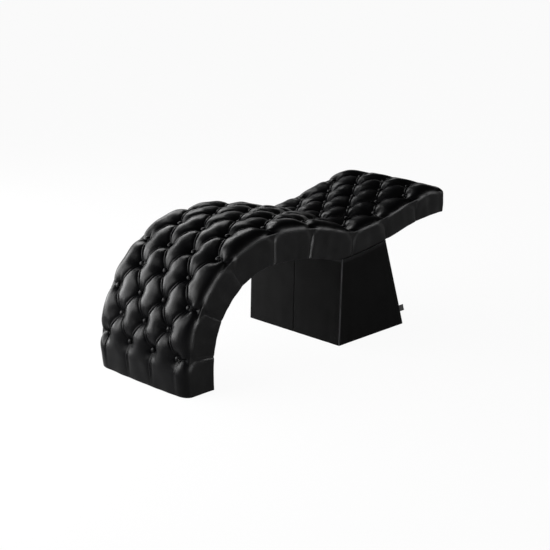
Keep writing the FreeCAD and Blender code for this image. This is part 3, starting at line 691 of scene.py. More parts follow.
def mesh_object(name: str, points: Array, faces: Sequence, finish: Material | None) -> Piece:
    """Make a smooth shaded mesh object at the origin.

    Args:
        name: The piece's name.
        points: Vertex places, one row each.
        faces: Vertex numbers of each face.
        finish: The material, or None for a shape that gets one later.

    Returns:
        The object, linked to the scene.
    """
    mesh = bpy.data.meshes.new(name)
    mesh.from_pydata(points.reshape(-1, 3).tolist(), [], [list(face) for face in faces])
    mesh.polygons.foreach_set("use_smooth", [True] * len(mesh.polygons))
    if finish:
        mesh.materials.append(finish)
    mesh.validate()
    mesh.update()
    obj = bpy.data.objects.new(name, mesh)
    bpy.context.scene.collection.objects.link(obj)
    return obj


def set_painted_light(obj: Piece, values: Array) -> None:
    """Store the painted light of every vertex, from 0 for painted shade in a fold to 1 on a crown or for a
    painted highlight on an edge.
    """
    layer = obj.data.attributes.new("wear", "FLOAT", "POINT")
    layer.data.foreach_set("value", values.astype(np.float32).ravel())


def set_weave(obj: Piece, along: Array, across: Array) -> None:
    """Store where every vertex of a two layer cloth lies on the flat cloth, so that the threads follow it.

    Args:
        obj: The cloth, outer layer first.
        along: Places along the cloth, in metres, for the points of one layer.
        across: Places across it.
    """
    flat = np.stack([along.ravel(), across.ravel(), np.zeros(along.size)], axis=1).astype(np.float32)
    layer = obj.data.attributes.new("weave", "FLOAT_VECTOR", "POINT")
    layer.data.foreach_set("vector", np.concatenate([flat, flat]).ravel())


def grid_faces(rows: int, columns: int, start: int = 0, turn: bool = False) -> Array:
    """Number the quads of a grid of vertices.

    Args:
        rows: Number of vertex rows.
        columns: Number of vertices in a row.
        start: Number of the first vertex.
        turn: Whether the faces point the other way.

    Returns:
        Vertex numbers of the quads.
    """
    first = (np.arange(rows - 1)[:, None] * columns + np.arange(columns - 1)[None, :]).ravel() + start
    quads = np.stack([first, first + 1, first + columns + 1, first + columns], axis=1)
    return quads[:, ::-1] if turn else quads


def shell(outer: Array, inner: Array) -> tuple[Array, list[list[int]]]:
    """Join two grids into one closed skin.

    Args:
        outer: Outer points, rows by columns by 3.
        inner: Inner points of the same shape, or every second row and column of it.

    Returns:
        All points, and the vertex numbers of all faces.
    """
    count = outer.shape[0] * outer.shape[1]
    rim_out = rim_numbers(*outer.shape[:2])
    rim_in = rim_numbers(*inner.shape[:2]) + count
    step = len(rim_out) // len(rim_in)
    faces = grid_faces(*outer.shape[:2]).tolist() + grid_faces(*inner.shape[:2], count, True).tolist()
    for number, corner in enumerate(rim_in):
        edge = [int(rim_out[(number * step + part) % len(rim_out)]) for part in range(step + 1)]
        faces.append([int(corner), int(rim_in[(number + 1) % len(rim_in)])] + edge[::-1])
    return np.concatenate([outer.reshape(-1, 3), inner.reshape(-1, 3)]), faces


def rim_numbers(rows: int, columns: int) -> Array:
    """Vertex numbers round the edge of a grid."""
    number = np.arange(rows * columns).reshape(rows, columns)
    return np.concatenate([number[0, :-1], number[:-1, -1], number[-1, :0:-1], number[:0:-1, 0]])


def close_up(obj: Piece) -> None:
    """Merge doubles, close open ends and turn all faces outwards.

    Args:
        obj: The piece.
    """
    work = bmesh.new()
    work.from_mesh(obj.data)
    bmesh.ops.remove_doubles(work, verts=work.verts, dist=MERGE_DISTANCE)
    bmesh.ops.holes_fill(work, edges=[edge for edge in work.edges if edge.is_boundary], sides=0)
    bmesh.ops.recalc_face_normals(work, faces=work.faces)
    work.to_mesh(obj.data)
    work.free()
    obj.data.polygons.foreach_set("use_smooth", [True] * len(obj.data.polygons))


def settle(obj: Piece, slot: Slot | None, *nodes: str) -> None:
    """Let a piece ride on the body and stand for its nodes.

    Args:
        obj: The piece.
        slot: Not used.
        nodes: Names of the nodes that it stands for.
    """
    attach(obj, BODY)
    if nodes:
        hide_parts(*nodes)
    LOG.info("%s: %d faces", obj.name, len(obj.data.polygons))


@dataclass(frozen=True)
class Fold:
    """One fold of the leather, between two buttons or from a button to an end of the body.

    Valley and groove are depths at its start and its end, and roll is the width between its two creases.
    """

    start: tuple[float, float]
    end: tuple[float, float]
    valley: tuple[float, float]
    groove: tuple[float, float]
    roll: float


@dataclass
class TuftField:
    """How far the leather sinks under its smooth envelope at every place of the body."""

    plan: BodyPlan
    spread: float = 0.005
    pit_radius: float = 0.0095
    pit_reach: float = 0.080
    pit_power: float = 2.2
    valley_depth: float = 0.0065
    valley_reach: float = 0.060
    groove_depth: float = 0.0085
    groove_reach: float = 0.020
    groove_at_button: float = 0.4
    fullness: float = 0.55
    union: float = 3.0
    roll_width: float = 0.012
    least_roll: float = 0.003
    roll_height: float = 0.75
    roll_taper: float = 1.5
    roll_roundness: float = 0.6
    end_roll: float = 0.007
    foot_valley: tuple[float, float] = (0.0005, 0.006)
    foot_groove: tuple[float, float] = (0.0008, 0.006)
    head_valley: tuple[float, float] = (0.006, 0.001)
    head_groove: tuple[float, float] = (0.005, 0.001)
    corner_roll: float = 0.005
    corner_valley: tuple[float, float] = (0.0, 0.003)
    corner_groove: tuple[float, float] = (0.0002, 0.003)
    band_rows: int = 22
    band_grade: float = 0.6
    shoulder_run: float = 0.090
    # By shares of the shoulder's run: depth and reach of a border valley, depth and widening of its tuck.
    border_stops: tuple[float, ...] = (0.0, 0.4, 0.8, 1.0, 1.3, 3.0)
    border_valley: tuple[float, ...] = (0.015, 0.018, 0.017, 0.0110, 0.0030, 0.001)
    border_reach: tuple[float, ...] = (0.062, 0.064, 0.064, 0.056, 0.036, 0.026)
    border_tuck: tuple[float, ...] = (0.007, 0.007, 0.006, 0.005, 0.0045, 0.0042)
    border_widening: tuple[float, ...] = (0.2, 0.4, 0.8, 1.0, 1.0, 1.0)
    tuck_widths: tuple[float, ...] = (0.010, 0.012, 0.036, 0.013, 0.012, 0.014, 0.013, 0.012)
    tuck_line: float = 0.0012
    tuck_reach: float = 0.010
    crease_width: float = 0.003
    wrinkle: float = 0.0006
    wrinkle_ring: tuple[float, float, float, float] = (0.010, 0.020, 0.026, 0.062)
    wrinkle_bend: float = 1.5
    wrinkle_seed: int = 11
    wrinkle_count: tuple[int, int] = (7, 12)
    wrinkle_phase: float = 6.28
    wrinkle_size: tuple[float, float] = (0.6, 1.25)
    border_from: tuple[float, float] = (0.7, 1.3)
    border_ripple: float = 0.00015
    unevenness: float = 0.0008

    def __post_init__(self) -> None:
        """Lay out the fold lines between the buttons."""
        plan, e = self.plan, self.spread
        inner, outer = plan.pitch / 2, 1.5 * plan.pitch
        self.edge = outer
        four = np.array([-outer + e, -inner - e, -inner + e, inner - e, inner + e, outer - e])
        three = np.array([-plan.pitch - e, -plan.pitch + e, -e, e, plan.pitch - e, plan.pitch + e])
        stops = [0.0] + plan.rows + [plan.deck.length]
        by_row = [three if row % 2 else four for row in range(len(plan.rows))]
        lines = [four] + by_row + [three]
        self.bands = list(zip(stops, stops[1:], lines, lines[1:]))
        self.folds = [fold for index in range(len(self.bands)) for fold in self._band_folds(index)]

    def _band_folds(self, index: int) -> list[Fold]:
        """List the folds that cross one band between two rows of buttons.

        Args:
            index: Number of the band, from the foot.

        Returns:
            Its six folds.
        """
        start, stop, first, last = self.bands[index]
        valley, groove, roll = (self.valley_depth,) * 2, (self.groove_depth,) * 2, self.roll_width
        if index == 0:
            valley, groove, roll = self.foot_valley, self.foot_groove, self.end_roll
        if index == len(self.bands) - 1:
            valley, groove, roll = self.head_valley, self.head_groove, self.end_roll
        folds = [Fold((start, place), (stop, to), valley, groove, roll) for place, to in zip(first, last)]
        if index == 0:
            for outer in (0, -1):
                folds[outer] = replace(
                    folds[outer],
                    valley=self.corner_valley,
                    groove=self.corner_groove,
                    roll=self.corner_roll,
                )
        return folds

    def roll_at(self, share: Array, roll: float) -> Array:
        """Width of the roll of leather in a fold, widest halfway between the buttons."""
        return self.least_roll + (roll - self.least_roll) * np.sin(np.pi * share) ** self.roll_taper

    def stations(self) -> tuple[Array, Array]:
        """Choose the mesh rows.

        Returns:
            Their distances along the deck, and the places across of both creases of the six folds at each.
        """
        along, folds = [], []
        for index, (start, stop, first, last) in enumerate(self.bands):
            share = graded(self.band_rows, self.band_grade)
            line = self.tuck_line / (stop - start)
            if index < len(self.bands) - 1:
                share = np.insert(share[:-1], *((1, line) if index % 2 else (len(share) - 1, 1 - line)))
            along.append(start + (stop - start) * share)
            middle = first[None, :] * (1 - share[:, None]) + last[None, :] * share[:, None]
            slant = np.hypot(1.0, (last - first)[None, :] / (stop - start))
            roll = self.folds[len(first) * index].roll
            half = self.roll_at(share, roll)[:, None] / 2 * slant
            folds.append(np.stack([middle - half, middle + half], axis=2).reshape(len(share), -1))
        return np.concatenate(along), np.concatenate(folds)

    def flank(self, share: Array) -> Array:
        """Profile beside a crease, from 1 in it to 0 where the pillow is full; steepest at the crease."""
        return 1 - (1 - (1 - np.clip(share, 0.0, 1.0)) ** 2) ** self.fullness

    def sink(self, s: Array, w: Array) -> Array:
        """Measure the sink at places of the unrolled cover.

        Args:
            s: Distances along the deck, one for each mesh row.
            w: Places across the unrolled cover, rows by columns.

        Returns:
            Depth under the envelope, rows by columns.
        """
        broad = np.zeros(w.shape)
        creases = np.zeros(w.shape)
        for fold in self.folds:
            far = self.valley_reach
            rows = slice(np.searchsorted(s, fold.start[0] - far), np.searchsorted(s, fold.end[0] + far))
            valley, groove = self._fold_sink(fold, s[rows, None], w[rows])
            broad[rows] += valley ** self.union
            creases[rows] = np.maximum(creases[rows], groove)
        for station, across in self.plan.buttons():
            far = self.pit_radius + self.pit_reach
            rows = slice(np.searchsorted(s, station - far), np.searchsorted(s, station + far))
            away = np.hypot(s[rows, None] - station, w[rows] - across) - self.pit_radius
            full = np.clip(1 - away / self.pit_reach, 0.0, 1.0)
            broad[rows] += (self.plan.button_dip * full ** self.pit_power) ** self.union
        for number in range(len(self.plan.edge_rows)):
            valley, groove = self._border_sink(number, s[:, None], w)
            broad += valley ** self.union
            creases = np.maximum(creases, groove)
        deep = np.minimum(broad ** (1 / self.union) + creases, self.plan.button_dip)
        return deep - self.puckers(s, w)

    def _fold_sink(self, fold: Fold, s: Array, w: Array) -> tuple[Array, Array]:
        """Measure one fold.

        Args:
            fold: The fold.
            s: Distances along the deck.
            w: Places across the unrolled cover.

        Returns:
            Depth of the broad valley along the fold, and of the two creases beside its roll.
        """
        ds, dw = fold.end[0] - fold.start[0], fold.end[1] - fold.start[1]
        length = math.hypot(ds, dw)
        from_s, from_w = s - fold.start[0], w - fold.start[1]
        along = (from_s * ds + from_w * dw) / length
        share = np.clip(along / length, 0.0, 1.0)
        arched = np.sin(np.pi * share)
        offset = np.abs(from_s * dw - from_w * ds) / length
        half = self.roll_at(share, fold.roll) / 2
        away = np.hypot(np.maximum(offset - half, 0.0), along - share * length)
        valley = fold.valley[0] + (fold.valley[1] - fold.valley[0]) * share
        groove = fold.groove[0] + (fold.groove[1] - fold.groove[0]) * share
        groove = groove * (self.groove_at_button + (1 - self.groove_at_button) * arched)
        roll = np.clip(1 - (offset / half) ** 2, 0.0, 1.0) ** self.roll_roundness
        rise = 1 - self.roll_height * arched * roll
        valley = valley * np.clip(1 - away / self.valley_reach, 0.0, 1.0) ** 2
        return valley, groove * np.where(offset < half, rise, 1.0) * self.flank(away / self.groove_reach)

    def _border_sink(self, number: int, s: Array, w: Array) -> tuple[Array, Array]:
        """Measure what runs from an edge button down the border.

        Args:
            number: Number of the edge button, from the foot.
            s: Distances along the deck.
            w: Places across the unrolled cover.

        Returns:
            Depth of the broad valley, and of the crisp tuck in it.
        """
        beyond = np.abs(w) - self.edge
        stops = np.array(self.border_stops) * self.shoulder_run
        valley = np.interp(beyond, stops, self.border_valley)
        reach = np.interp(beyond, stops, self.border_reach)
        tuck = np.interp(beyond, stops, self.border_tuck)
        wide = np.interp(beyond, stops, self.border_widening) * self.tuck_widths[number]
        offset = s - self.plan.edge_rows[number]
        inside = np.minimum(beyond, 0.0)
        valley = valley * np.clip(1 - np.hypot(offset, inside) / reach, 0.0, 1.0) ** 2
        before = self.flank(np.hypot(np.minimum(offset, 0.0), inside) / self.tuck_reach)
        after = np.clip(1 - np.hypot(np.maximum(offset - self.crease_width, 0.0), inside) / wide, 0.0, 1.0)
        return valley, tuck * np.where(offset < 0, before, after)

    def puckers(self, s: Array, w: Array) -> Array:
        """Add the short folds that run out from each button, and the slight unevenness of handwork.

        Args:
            s: Distances along the deck, one for each mesh row.
            w: Places across the unrolled cover, rows by columns.

        Returns:
            Lift of the leather, rows by columns.
        """
        rng = np.random.default_rng(self.wrinkle_seed)
        lift = np.zeros(w.shape)
        begin, full, fade, far = self.wrinkle_ring
        for station, across in self.plan.buttons():
            count = rng.integers(*self.wrinkle_count)
            phase = rng.uniform(0, self.wrinkle_phase)
            size = rng.uniform(*self.wrinkle_size)
            rows = slice(np.searchsorted(s, station - far), np.searchsorted(s, station + far))
            out_s, out_w = s[rows, None] - station, w[rows] - across
            away, turn = np.hypot(out_s, out_w), np.arctan2(out_w, out_s)
            hold = smooth(away, begin, full) * (1 - smooth(away, fade, far))
            bent = count * turn + phase + self.wrinkle_bend * np.sin(2 * turn + phase)
            lift[rows] += size * self.wrinkle * hold * np.cos(bent)
        low, high = (self.edge + share * self.shoulder_run for share in self.border_from)
        slack = Ripples(seed=5, length_a=0.060, length_b=0.4).at(s[:, None], w)
        lift += smooth(np.abs(w), low, high) * self.border_ripple * slack
        lift += self.unevenness * Ripples(seed=7, length_a=0.12, length_b=0.12).at(s[:, None], w)
        return lift


@dataclass(frozen=True)
class Outline:
    """The smooth outline of the cover: place across, height and outward direction of every mesh point."""

    across: Array
    height: Array
    out_t: Array
    out_z: Array

    def sunk(self, part: tuple | list[int], down: Array) -> tuple[Array, Array]:
        """Place across and height of a part of the points, moved inwards."""
        return self.across[part] - self.out_t[part] * down, self.height[part] - self.out_z[part] * down


@dataclass
class TuftedCover:
    """The leather cover with its side borders, and the foam and padding that fill it."""

    plan: BodyPlan
    field: TuftField
    leather: float = 0.0025
    flat_half: float = 0.08
    edge_fall: float = 0.006
    back_fall: float = 0.011
    back_rows: tuple[int, int, int, int] = (7, 10, 13, 15)
    shoulder_level: float = -0.012
    squareness: float = 2.1
    foot_crown: float = 0.034
    foot_turn: tuple[float, ...] = (0.013, 0.006, 0.0015)
    foot_reach: float = 0.0015
    head_crown: float = 0.022
    head_turn: tuple[float, ...] = (0.001, 0.005, 0.012)
    head_reach: float = 0.006
    hem: float = 0.004
    hem_width: float = 0.011
    hem_lift: float = -0.0005
    foam_gap: float = 0.0045
    foam_floor: float = 0.0012
    foam_end: float = 0.006
    least_foam: float = 0.002
    rib_inset: float = 0.0078
    least_pad: float = 0.0008
    pad_gap: float = 0.0006
    thin_pad: float = 0.0006
    end_inset: float = 0.0055
    end_tuck: float = 0.0065
    end_hem: float = 0.0035
    end_dome: float = 0.0038
    end_flatness: tuple[int, int] = (6, 4)
    end_crease: float = 0.0004
    end_behind_rim: float = 0.0008
    end_over_board: float = 0.0004
    end_turned_edges: tuple[float, float] = (0.02, 0.03)
    # Share of the face colour over the whole head end panel: one even value, kept in the attribute that
    # carries the painted shade.
    end_face_share: float = 0.8
    end_columns: int = 48
    end_rows: int = 20
    end_grade: float = 0.6
    cell_columns: int = 18
    cell_grade: float = 0.75
    roll_columns: int = 6
    roll_grade: float = 0.3
    edge_columns: int = 10
    shoulder_columns: int = 16
    border_columns: int = 22
    curl_columns: int = 3

    def envelope(self, s: Array, folds: Array) -> tuple[Array, Array, Array]:
        """Lay the smooth outline that the tufts are sunk into.

        Args:
            s: Distances along the deck.
            folds: Places across of the creases at each distance.

        Returns:
            Place across and height over the deck, and the unrolled place across, rows by columns.
        """
        inner = self._inner_columns(s, folds)
        top = self._crown(s, inner)
        far_t, far_z = self._side(s, top[:, -1:])
        across = np.concatenate([-far_t[:, ::-1], inner, far_t], axis=1)
        height = np.concatenate([far_z[:, ::-1], top, far_z], axis=1)
        steps = np.hypot(np.diff(across, axis=1), np.diff(height, axis=1))
        run = np.concatenate([np.zeros((len(s), 1)), np.cumsum(steps, axis=1)], axis=1)
        middle = far_t.shape[1] + inner.shape[1] // 2
        return across, height, run - run[:, middle:middle + 1] + across[:, middle:middle + 1]

    def _inner_columns(self, s: Array, folds: Array) -> Array:
        """Choose the columns between the two outer button lines, finer towards each fold.

        Args:
            s: Distances along the deck.
            folds: Places across of the creases at each distance.

        Returns:
            Places across, rows by columns.
        """
        rim = np.full((len(s), 1), self.field.edge)
        knots = np.concatenate([-rim, folds, rim], axis=1)
        parts = []
        for number in range(knots.shape[1] - 1):
            count = self.roll_columns if number % 2 else self.cell_columns
            if number in (0, knots.shape[1] - 2):
                count = self.edge_columns
            grade = self.cell_grade if count > self.roll_columns else self.roll_grade
            share = graded(count, grade)[None, :-1]
            here, after = knots[:, number:number + 1], knots[:, number + 1:number + 2]
            parts.append(here * (1 - share) + after * share)
        return np.concatenate(parts + [knots[:, -1:]], axis=1)

    def _crown(self, s: Array, across: Array) -> Array:
        """Shape the crowns of the pillows, lower at the foot, the head and the sides.

        Args:
            s: Distances along the deck.
            across: Places across, rows by columns.

        Returns:
            Height over the deck, rows by columns.
        """
        plan = self.plan
        foot = np.sin(np.pi / 2 * np.clip(s / plan.rows[0], 0.0, 1.0))
        to_head = np.clip((s - plan.rows[-1]) / (plan.deck.length - plan.rows[-1]), 0.0, 1.0)
        head = np.cos(np.pi / 2 * to_head)
        by_foot = self.foot_crown + (plan.crown - self.foot_crown) * foot
        by_head = self.head_crown + (plan.crown - self.head_crown) * head
        share = np.minimum(by_foot, by_head)[:, None] / plan.crown
        begin, full, fade, end = (plan.rows[row] for row in self.back_rows)
        fall = self.edge_fall + self.back_fall * smooth(s, begin, full) * (1 - smooth(s, fade, end))
        aside = smooth(np.abs(across), self.flat_half, self.field.edge)
        return share * (plan.crown - fall[:, None] * aside)

    def _side(self, s: Array, top: Array) -> tuple[Array, Array]:
        """Lay the far side: round shoulder, flat border and turned hem.

        Args:
            s: Distances along the deck.
            top: Height of the crown at the outer button line, one row each.

        Returns:
            Place across and height over the deck, rows by columns.
        """
        plan, edge, count = self.plan, self.field.edge, len(s)
        turn = np.linspace(0.0, np.pi / 2, self.shoulder_columns + 1)[None, 1:]
        out = edge + (plan.half - edge) * np.sin(turn) ** (2 / self.squareness)
        level = self.shoulder_level
        rise = level + (top - level) * np.cos(turn) ** (2 / self.squareness)
        depth = plan.depth(s)[:, None]
        fall = np.linspace(0.0, 1.0, self.border_columns + 1)[None, 1:]
        low = level - (level + depth - self.hem) * fall
        curl = np.linspace(0.0, np.pi / 2, self.curl_columns + 1)[None, 1:]
        rows = np.ones((count, 1))
        side_t = [rows * out, rows * np.full_like(fall, plan.half)]
        side_t += [rows * (plan.half - self.hem * (1 - np.cos(curl))), rows * (plan.half - self.hem_width)]
        side_z = [rise, low, self.hem_lift - depth + self.hem * (1 - np.sin(curl)), self.hem_lift - depth]
        return np.concatenate(side_t, axis=1), np.concatenate(side_z, axis=1)

    @staticmethod
    def normals(across: Array, height: Array) -> tuple[Array, Array]:
        """Find the outward directions of the outline.

        Args:
            across: Places across, rows by columns.
            height: Heights over the deck, rows by columns.

        Returns:
            Parts of the direction across and up, rows by columns.
        """
        along_t = np.gradient(across, axis=1)
        along_z = np.gradient(height, axis=1)
        size = np.maximum(np.hypot(along_t, along_z), TINY)
        return -along_z / size, along_t / size

    def _room(self, outline: Outline) -> Array:
        """Measure how far the leather may sink before it meets the deck or an outer rib.

        Args:
            outline: The smooth outline.

        Returns:
            The room at each point, rows by columns.
        """
        rib = self.plan.half - self.rib_inset
        aside = np.abs(outline.across) - rib - self.leather - self.least_pad
        above = outline.height - self.foam_floor - self.foam_gap - self.least_foam
        towards, flat = np.abs(outline.out_t), 0.001
        by_side = np.where(towards > flat, aside / np.maximum(towards, flat), 1.0)
        by_deck = np.where(outline.out_z > flat, above / np.maximum(outline.out_z, flat), 1.0)
        room = np.maximum(np.where(aside > 0, by_side, 0.0), np.where(above > 0, by_deck, 0.0))
        return np.maximum(room, 0.0)

    def build(self, finish: Material, foam_finish: Material) -> None:
        """Make the cover, the foam and the side padding.

        Args:
            finish: Leather of the cover.
            foam_finish: Material of the foam.
        """
        s, folds = self.field.stations()
        across, height, unrolled = self.envelope(s, folds)
        outline = Outline(across, height, *self.normals(across, height))
        sink = self.field.sink(s, unrolled)
        hold = np.minimum(np.arange(across.shape[1]) / (self.curl_columns + 1), 1.0)
        sink = sink * np.minimum(hold, hold[::-1])[None, :]
        sink = np.minimum(sink, self._room(outline))
        self._build_leather(s, outline, sink, finish)
        deepest = deepest_near(sink, reach=2)
        skirt = self.border_columns + self.curl_columns + 1
        inside = np.s_[:, skirt:across.shape[1] - skirt]
        self._build_foam(s, *outline.sunk(inside, deepest[inside] + self.foam_gap), foam_finish)
        turned = self.curl_columns + 2
        near, far = np.s_[::2, turned:skirt - 2:2], np.s_[::2, 1 - skirt:-turned:2]
        for name, side, part in (("near", -1, near), ("far", 1, far)):
            self._build_side_padding(name, side, s[::2], deepest[part], height[part], foam_finish)

    def _build_leather(self, s: Array, outline: Outline, sink: Array, finish: Material) -> None:
        """Make the tufted skin, turned in at the foot and the head.

        Args:
            s: Distances along the deck.
            outline: The smooth outline.
            sink: Depth under it, rows by columns.
            finish: Leather of the cover.
        """
        order = [0] * len(self.foot_turn) + list(range(len(s))) + [len(s) - 1] * len(self.head_turn)
        inset = np.array(self.foot_turn + (0.0,) * len(s) + self.head_turn)
        station = s[order]
        station[len(self.foot_turn)] += self.foot_reach
        station[-len(self.head_turn):] += self.head_reach
        deep = sink[order] + inset[:, None]
        layers = []
        for down in (deep, deepest_near(deep, reach=1) + self.leather):
            layers.append(self.plan.place(station[:, None], *outline.sunk(order, down)))
        cover = mesh_object("tufted_leather", *shell(layers[0], layers[1][::2, ::2]), finish)
        cover.data.flip_normals()
        # Painted shade: the deeper the leather sinks into a fold or a pit, the more it takes the darker fold
        # colour.
        crown = 1 - np.clip(deep / self.plan.button_dip, 0.0, 1.0)
        set_painted_light(cover, np.concatenate([crown.ravel(), crown[::2, ::2].ravel()]))
        settle(cover, Slot.TUFT, "tufted_cover")

    def _build_foam(self, s: Array, wide: Array, top: Array, finish: Material) -> None:
        """Fill the cover with foam, from just under the leather down to the deck.

        Args:
            s: Distances along the deck.
            wide: Places across of the foam's upper face, rows by columns.
            top: Its heights over the deck, rows by columns.
            finish: Material of the foam.
        """
        rows = np.unique(np.append(np.arange(0, len(s), 2), len(s) - 1))
        s = np.clip(s, self.foam_end, self.plan.deck.length - self.foam_end)
        wide, top = wide[rows, ::2], np.maximum(top[rows, ::2], self.foam_floor + self.least_foam)
        floor = np.full((len(rows), 1), self.foam_floor)
        ring_t = np.concatenate([wide, wide[:, -1:], wide[:, :1]], axis=1)
        ring = self.plan.place(s[rows, None], ring_t, np.concatenate([top, floor, floor], axis=1))
        count, size = ring.shape[:2]
        first = (np.arange(count - 1)[:, None] * size + np.arange(size)[None, :]).ravel()
        after = (np.arange(count - 1)[:, None] * size + (np.arange(size) + 1)[None, :] % size).ravel()
        quads = np.stack([first, after, after + size, first + size], axis=1)
        foam = mesh_object("tufted_foam", ring, quads, finish)
        close_up(foam)
        settle(foam, Slot.FOAM, "foam_pad")

    def _build_side_padding(
        self, name: str, side: int, s: Array, sink: Array, height: Array, finish: Material
    ) -> None:
        """Lay a thin layer of foam between an outer rib and the leather border, following its pleats.

        Args:
            name: Near or far.
            side: Sign of Y on that side.
            s: Distances along the deck.
            sink: Depth of the leather there, rows by columns.
            height: Heights over the deck, rows by columns.
            finish: Material of the foam.
        """
        rib = self.plan.half - self.rib_inset
        s = np.clip(s, self.foam_end, self.plan.deck.length - self.foam_end)
        behind = self.plan.half - self.leather - self.pad_gap - np.maximum(sink, 0.0)
        out = np.maximum(behind, rib + self.thin_pad)
        slab = [self.plan.place(s[:, None], side * place, height) for place in (out, 0.0 * out + rib)]
        padding = mesh_object(f"side_foam_{name}", *shell(*slab), finish)
        close_up(padding)
        settle(padding, Slot.FOAM, f"side_padding_{name}")

    def build_head_end(self, finish: Material) -> None:
        """Close the head end with a lightly domed leather panel that tucks under the cover's turned edge.

        Args:
            finish: Leather of the panel.
        """
        plan, edge, level = self.plan, self.field.edge, self.shoulder_level
        wide, length = plan.half - self.end_inset, plan.deck.length
        across = wide * (2 * graded(self.end_columns, self.end_grade)[None, :] - 1)
        top = float(self._crown(np.array([length]), np.array([[edge]]))[0, 0])
        aside = np.clip((np.abs(across) - edge) / (plan.half - edge), 0.0, 1.0)
        rounded = (1 - aside ** self.squareness) ** (1 / self.squareness)
        high = level + (top - level) * rounded - self.end_tuck
        low = self.end_hem - float(plan.depth(np.array([length]))[0])
        share = graded(self.end_rows, self.end_grade)[:, None]
        height = low + (high - low) * share
        by_side, by_edge = self.end_flatness
        dome = self.end_dome * (1 - (across / wide) ** by_side) * (1 - (2 * share - 1) ** by_edge)
        crease = self.end_crease * Ripples(seed=21, length_a=0.05, length_b=0.09).at(across, height)
        across = across + 0.0 * height
        outer = plan.place(length + self.head_reach - self.end_behind_rim + dome + crease, across, height)
        inner = plan.place(length + self.end_over_board + 0.0 * height, across, height)
        panel = mesh_object("head_end_leather", *shell(outer, inner), finish)
        close_up(panel)
        set_painted_light(panel, np.full(len(panel.data.vertices), self.end_face_share))
        settle(panel, Slot.TUFT, "head_end_cover")


class Repeater:
    """Geometry Nodes tree that sets one small shape at every point of a cloud."""

    SEED = 4

    def __init__(self) -> None:
        """Build the tree with its named inputs."""
        tree = bpy.data.node_groups.new("set_on_points", "GeometryNodeTree")
        face = tree.interface
        sockets = {}
        for name, kind in (
            ("Geometry", "Geometry"), ("Shape", "Object"), ("Finish", "Material"),
            ("Scale", "Float"), ("Spin", "Float"), ("Seed", "Int"),
        ):
            sockets[name] = face.new_socket(name, in_out="INPUT", socket_type=f"NodeSocket{kind}")
        face.new_socket("Geometry", in_out="OUTPUT", socket_type="NodeSocketGeometry")
        self.tree = tree
        self.names = {name: socket.identifier for name, socket in sockets.items()}
        given = add(tree, "NodeGroupInput").outputs
        shape = add(tree, "GeometryNodeObjectInfo", links={"Object": given["Shape"]})
        out, along = (
            add(tree, "GeometryNodeInputNamedAttribute", {"data_type": "FLOAT_VECTOR", "Name": name})
            for name in ("out", "along")
        )
        upright = add(
            tree, "FunctionNodeAlignRotationToVector", {"axis": "Z"}, {"Vector": out.outputs["Attribute"]}
        )
        turned = add(
            tree, "FunctionNodeAlignRotationToVector", {"axis": "X", "pivot_axis": "Z"},
            {"Rotation": upright.outputs["Rotation"], "Vector": along.outputs["Attribute"]},
        )
        least = add(tree, "ShaderNodeMath", {"operation": "MULTIPLY", 1: -1.0}, {0: given["Spin"]})
        draw = add(
            tree, "FunctionNodeRandomValue", {"data_type": "FLOAT"},
            {2: least.outputs[0], 3: given["Spin"], "Seed": given["Seed"]},
        )
        spin = add(
            tree, "FunctionNodeAxisAngleToRotation", {"Axis": (0.0, 0.0, 1.0)}, {"Angle": draw.outputs[1]}
        )
        final = add(
            tree, "FunctionNodeRotateRotation", {"rotation_space": "LOCAL"},
            {"Rotation": turned.outputs["Rotation"], "Rotate By": spin.outputs["Rotation"]},
        )
        copies = add(
            tree, "GeometryNodeInstanceOnPoints",
            links={
                "Points": given["Geometry"], "Instance": shape.outputs["Geometry"],
                "Rotation": final.outputs["Rotation"], "Scale": given["Scale"],
            },
        )
        real = add(tree, "GeometryNodeRealizeInstances", links={"Geometry": copies.outputs["Instances"]})
        coated = add(
            tree, "GeometryNodeSetMaterial",
            links={"Geometry": real.outputs["Geometry"], "Material": given["Finish"]},
        )
        add(tree, "NodeGroupOutput", links={"Geometry": coated.outputs["Geometry"]})

    def bake(
        self, name: str, shape: Piece, places: Array, out: Array, along: Array, finish: Material, spin: float
    ) -> Piece:
        """Set the shape at every place and turn the result into a plain mesh.

        Args:
            name: The piece's name.
            shape: The shape to repeat, removed afterwards.
            places: Points, one row each.
            out: Directions that the shape's Z takes.
            along: Directions that the shape's X takes as nearly as it can.
            finish: The material.
            spin: Largest random turn about Z, in radians.

        Returns:
            The new object.
        """
        cloud = bpy.data.meshes.new(name + "_points")
        cloud.from_pydata(places.tolist(), [], [])
        for label, values in (("out", out), ("along", along)):
            layer = cloud.attributes.new(label, "FLOAT_VECTOR", "POINT")
            layer.data.foreach_set("vector", values.astype(np.float32).ravel())
        holder = bpy.data.objects.new(name + "_points", cloud)
        bpy.context.scene.collection.objects.link(holder)
        modifier = holder.modifiers.new("set", "NODES")
        modifier.node_group = self.tree
        inputs = {"Shape": shape, "Finish": finish, "Scale": 1.0, "Spin": spin, "Seed": self.SEED}
        for label, value in inputs.items():
            modifier[self.names[label]] = value
        graph = bpy.context.evaluated_depsgraph_get()
        mesh = bpy.data.meshes.new_from_object(holder.evaluated_get(graph), depsgraph=graph)
        mesh.name = name
        obj = bpy.data.objects.new(name, mesh)
        bpy.context.scene.collection.objects.link(obj)
        holder.modifiers.remove(modifier)
        bpy.data.objects.remove(holder)
        bpy.data.objects.remove(shape)
        return obj


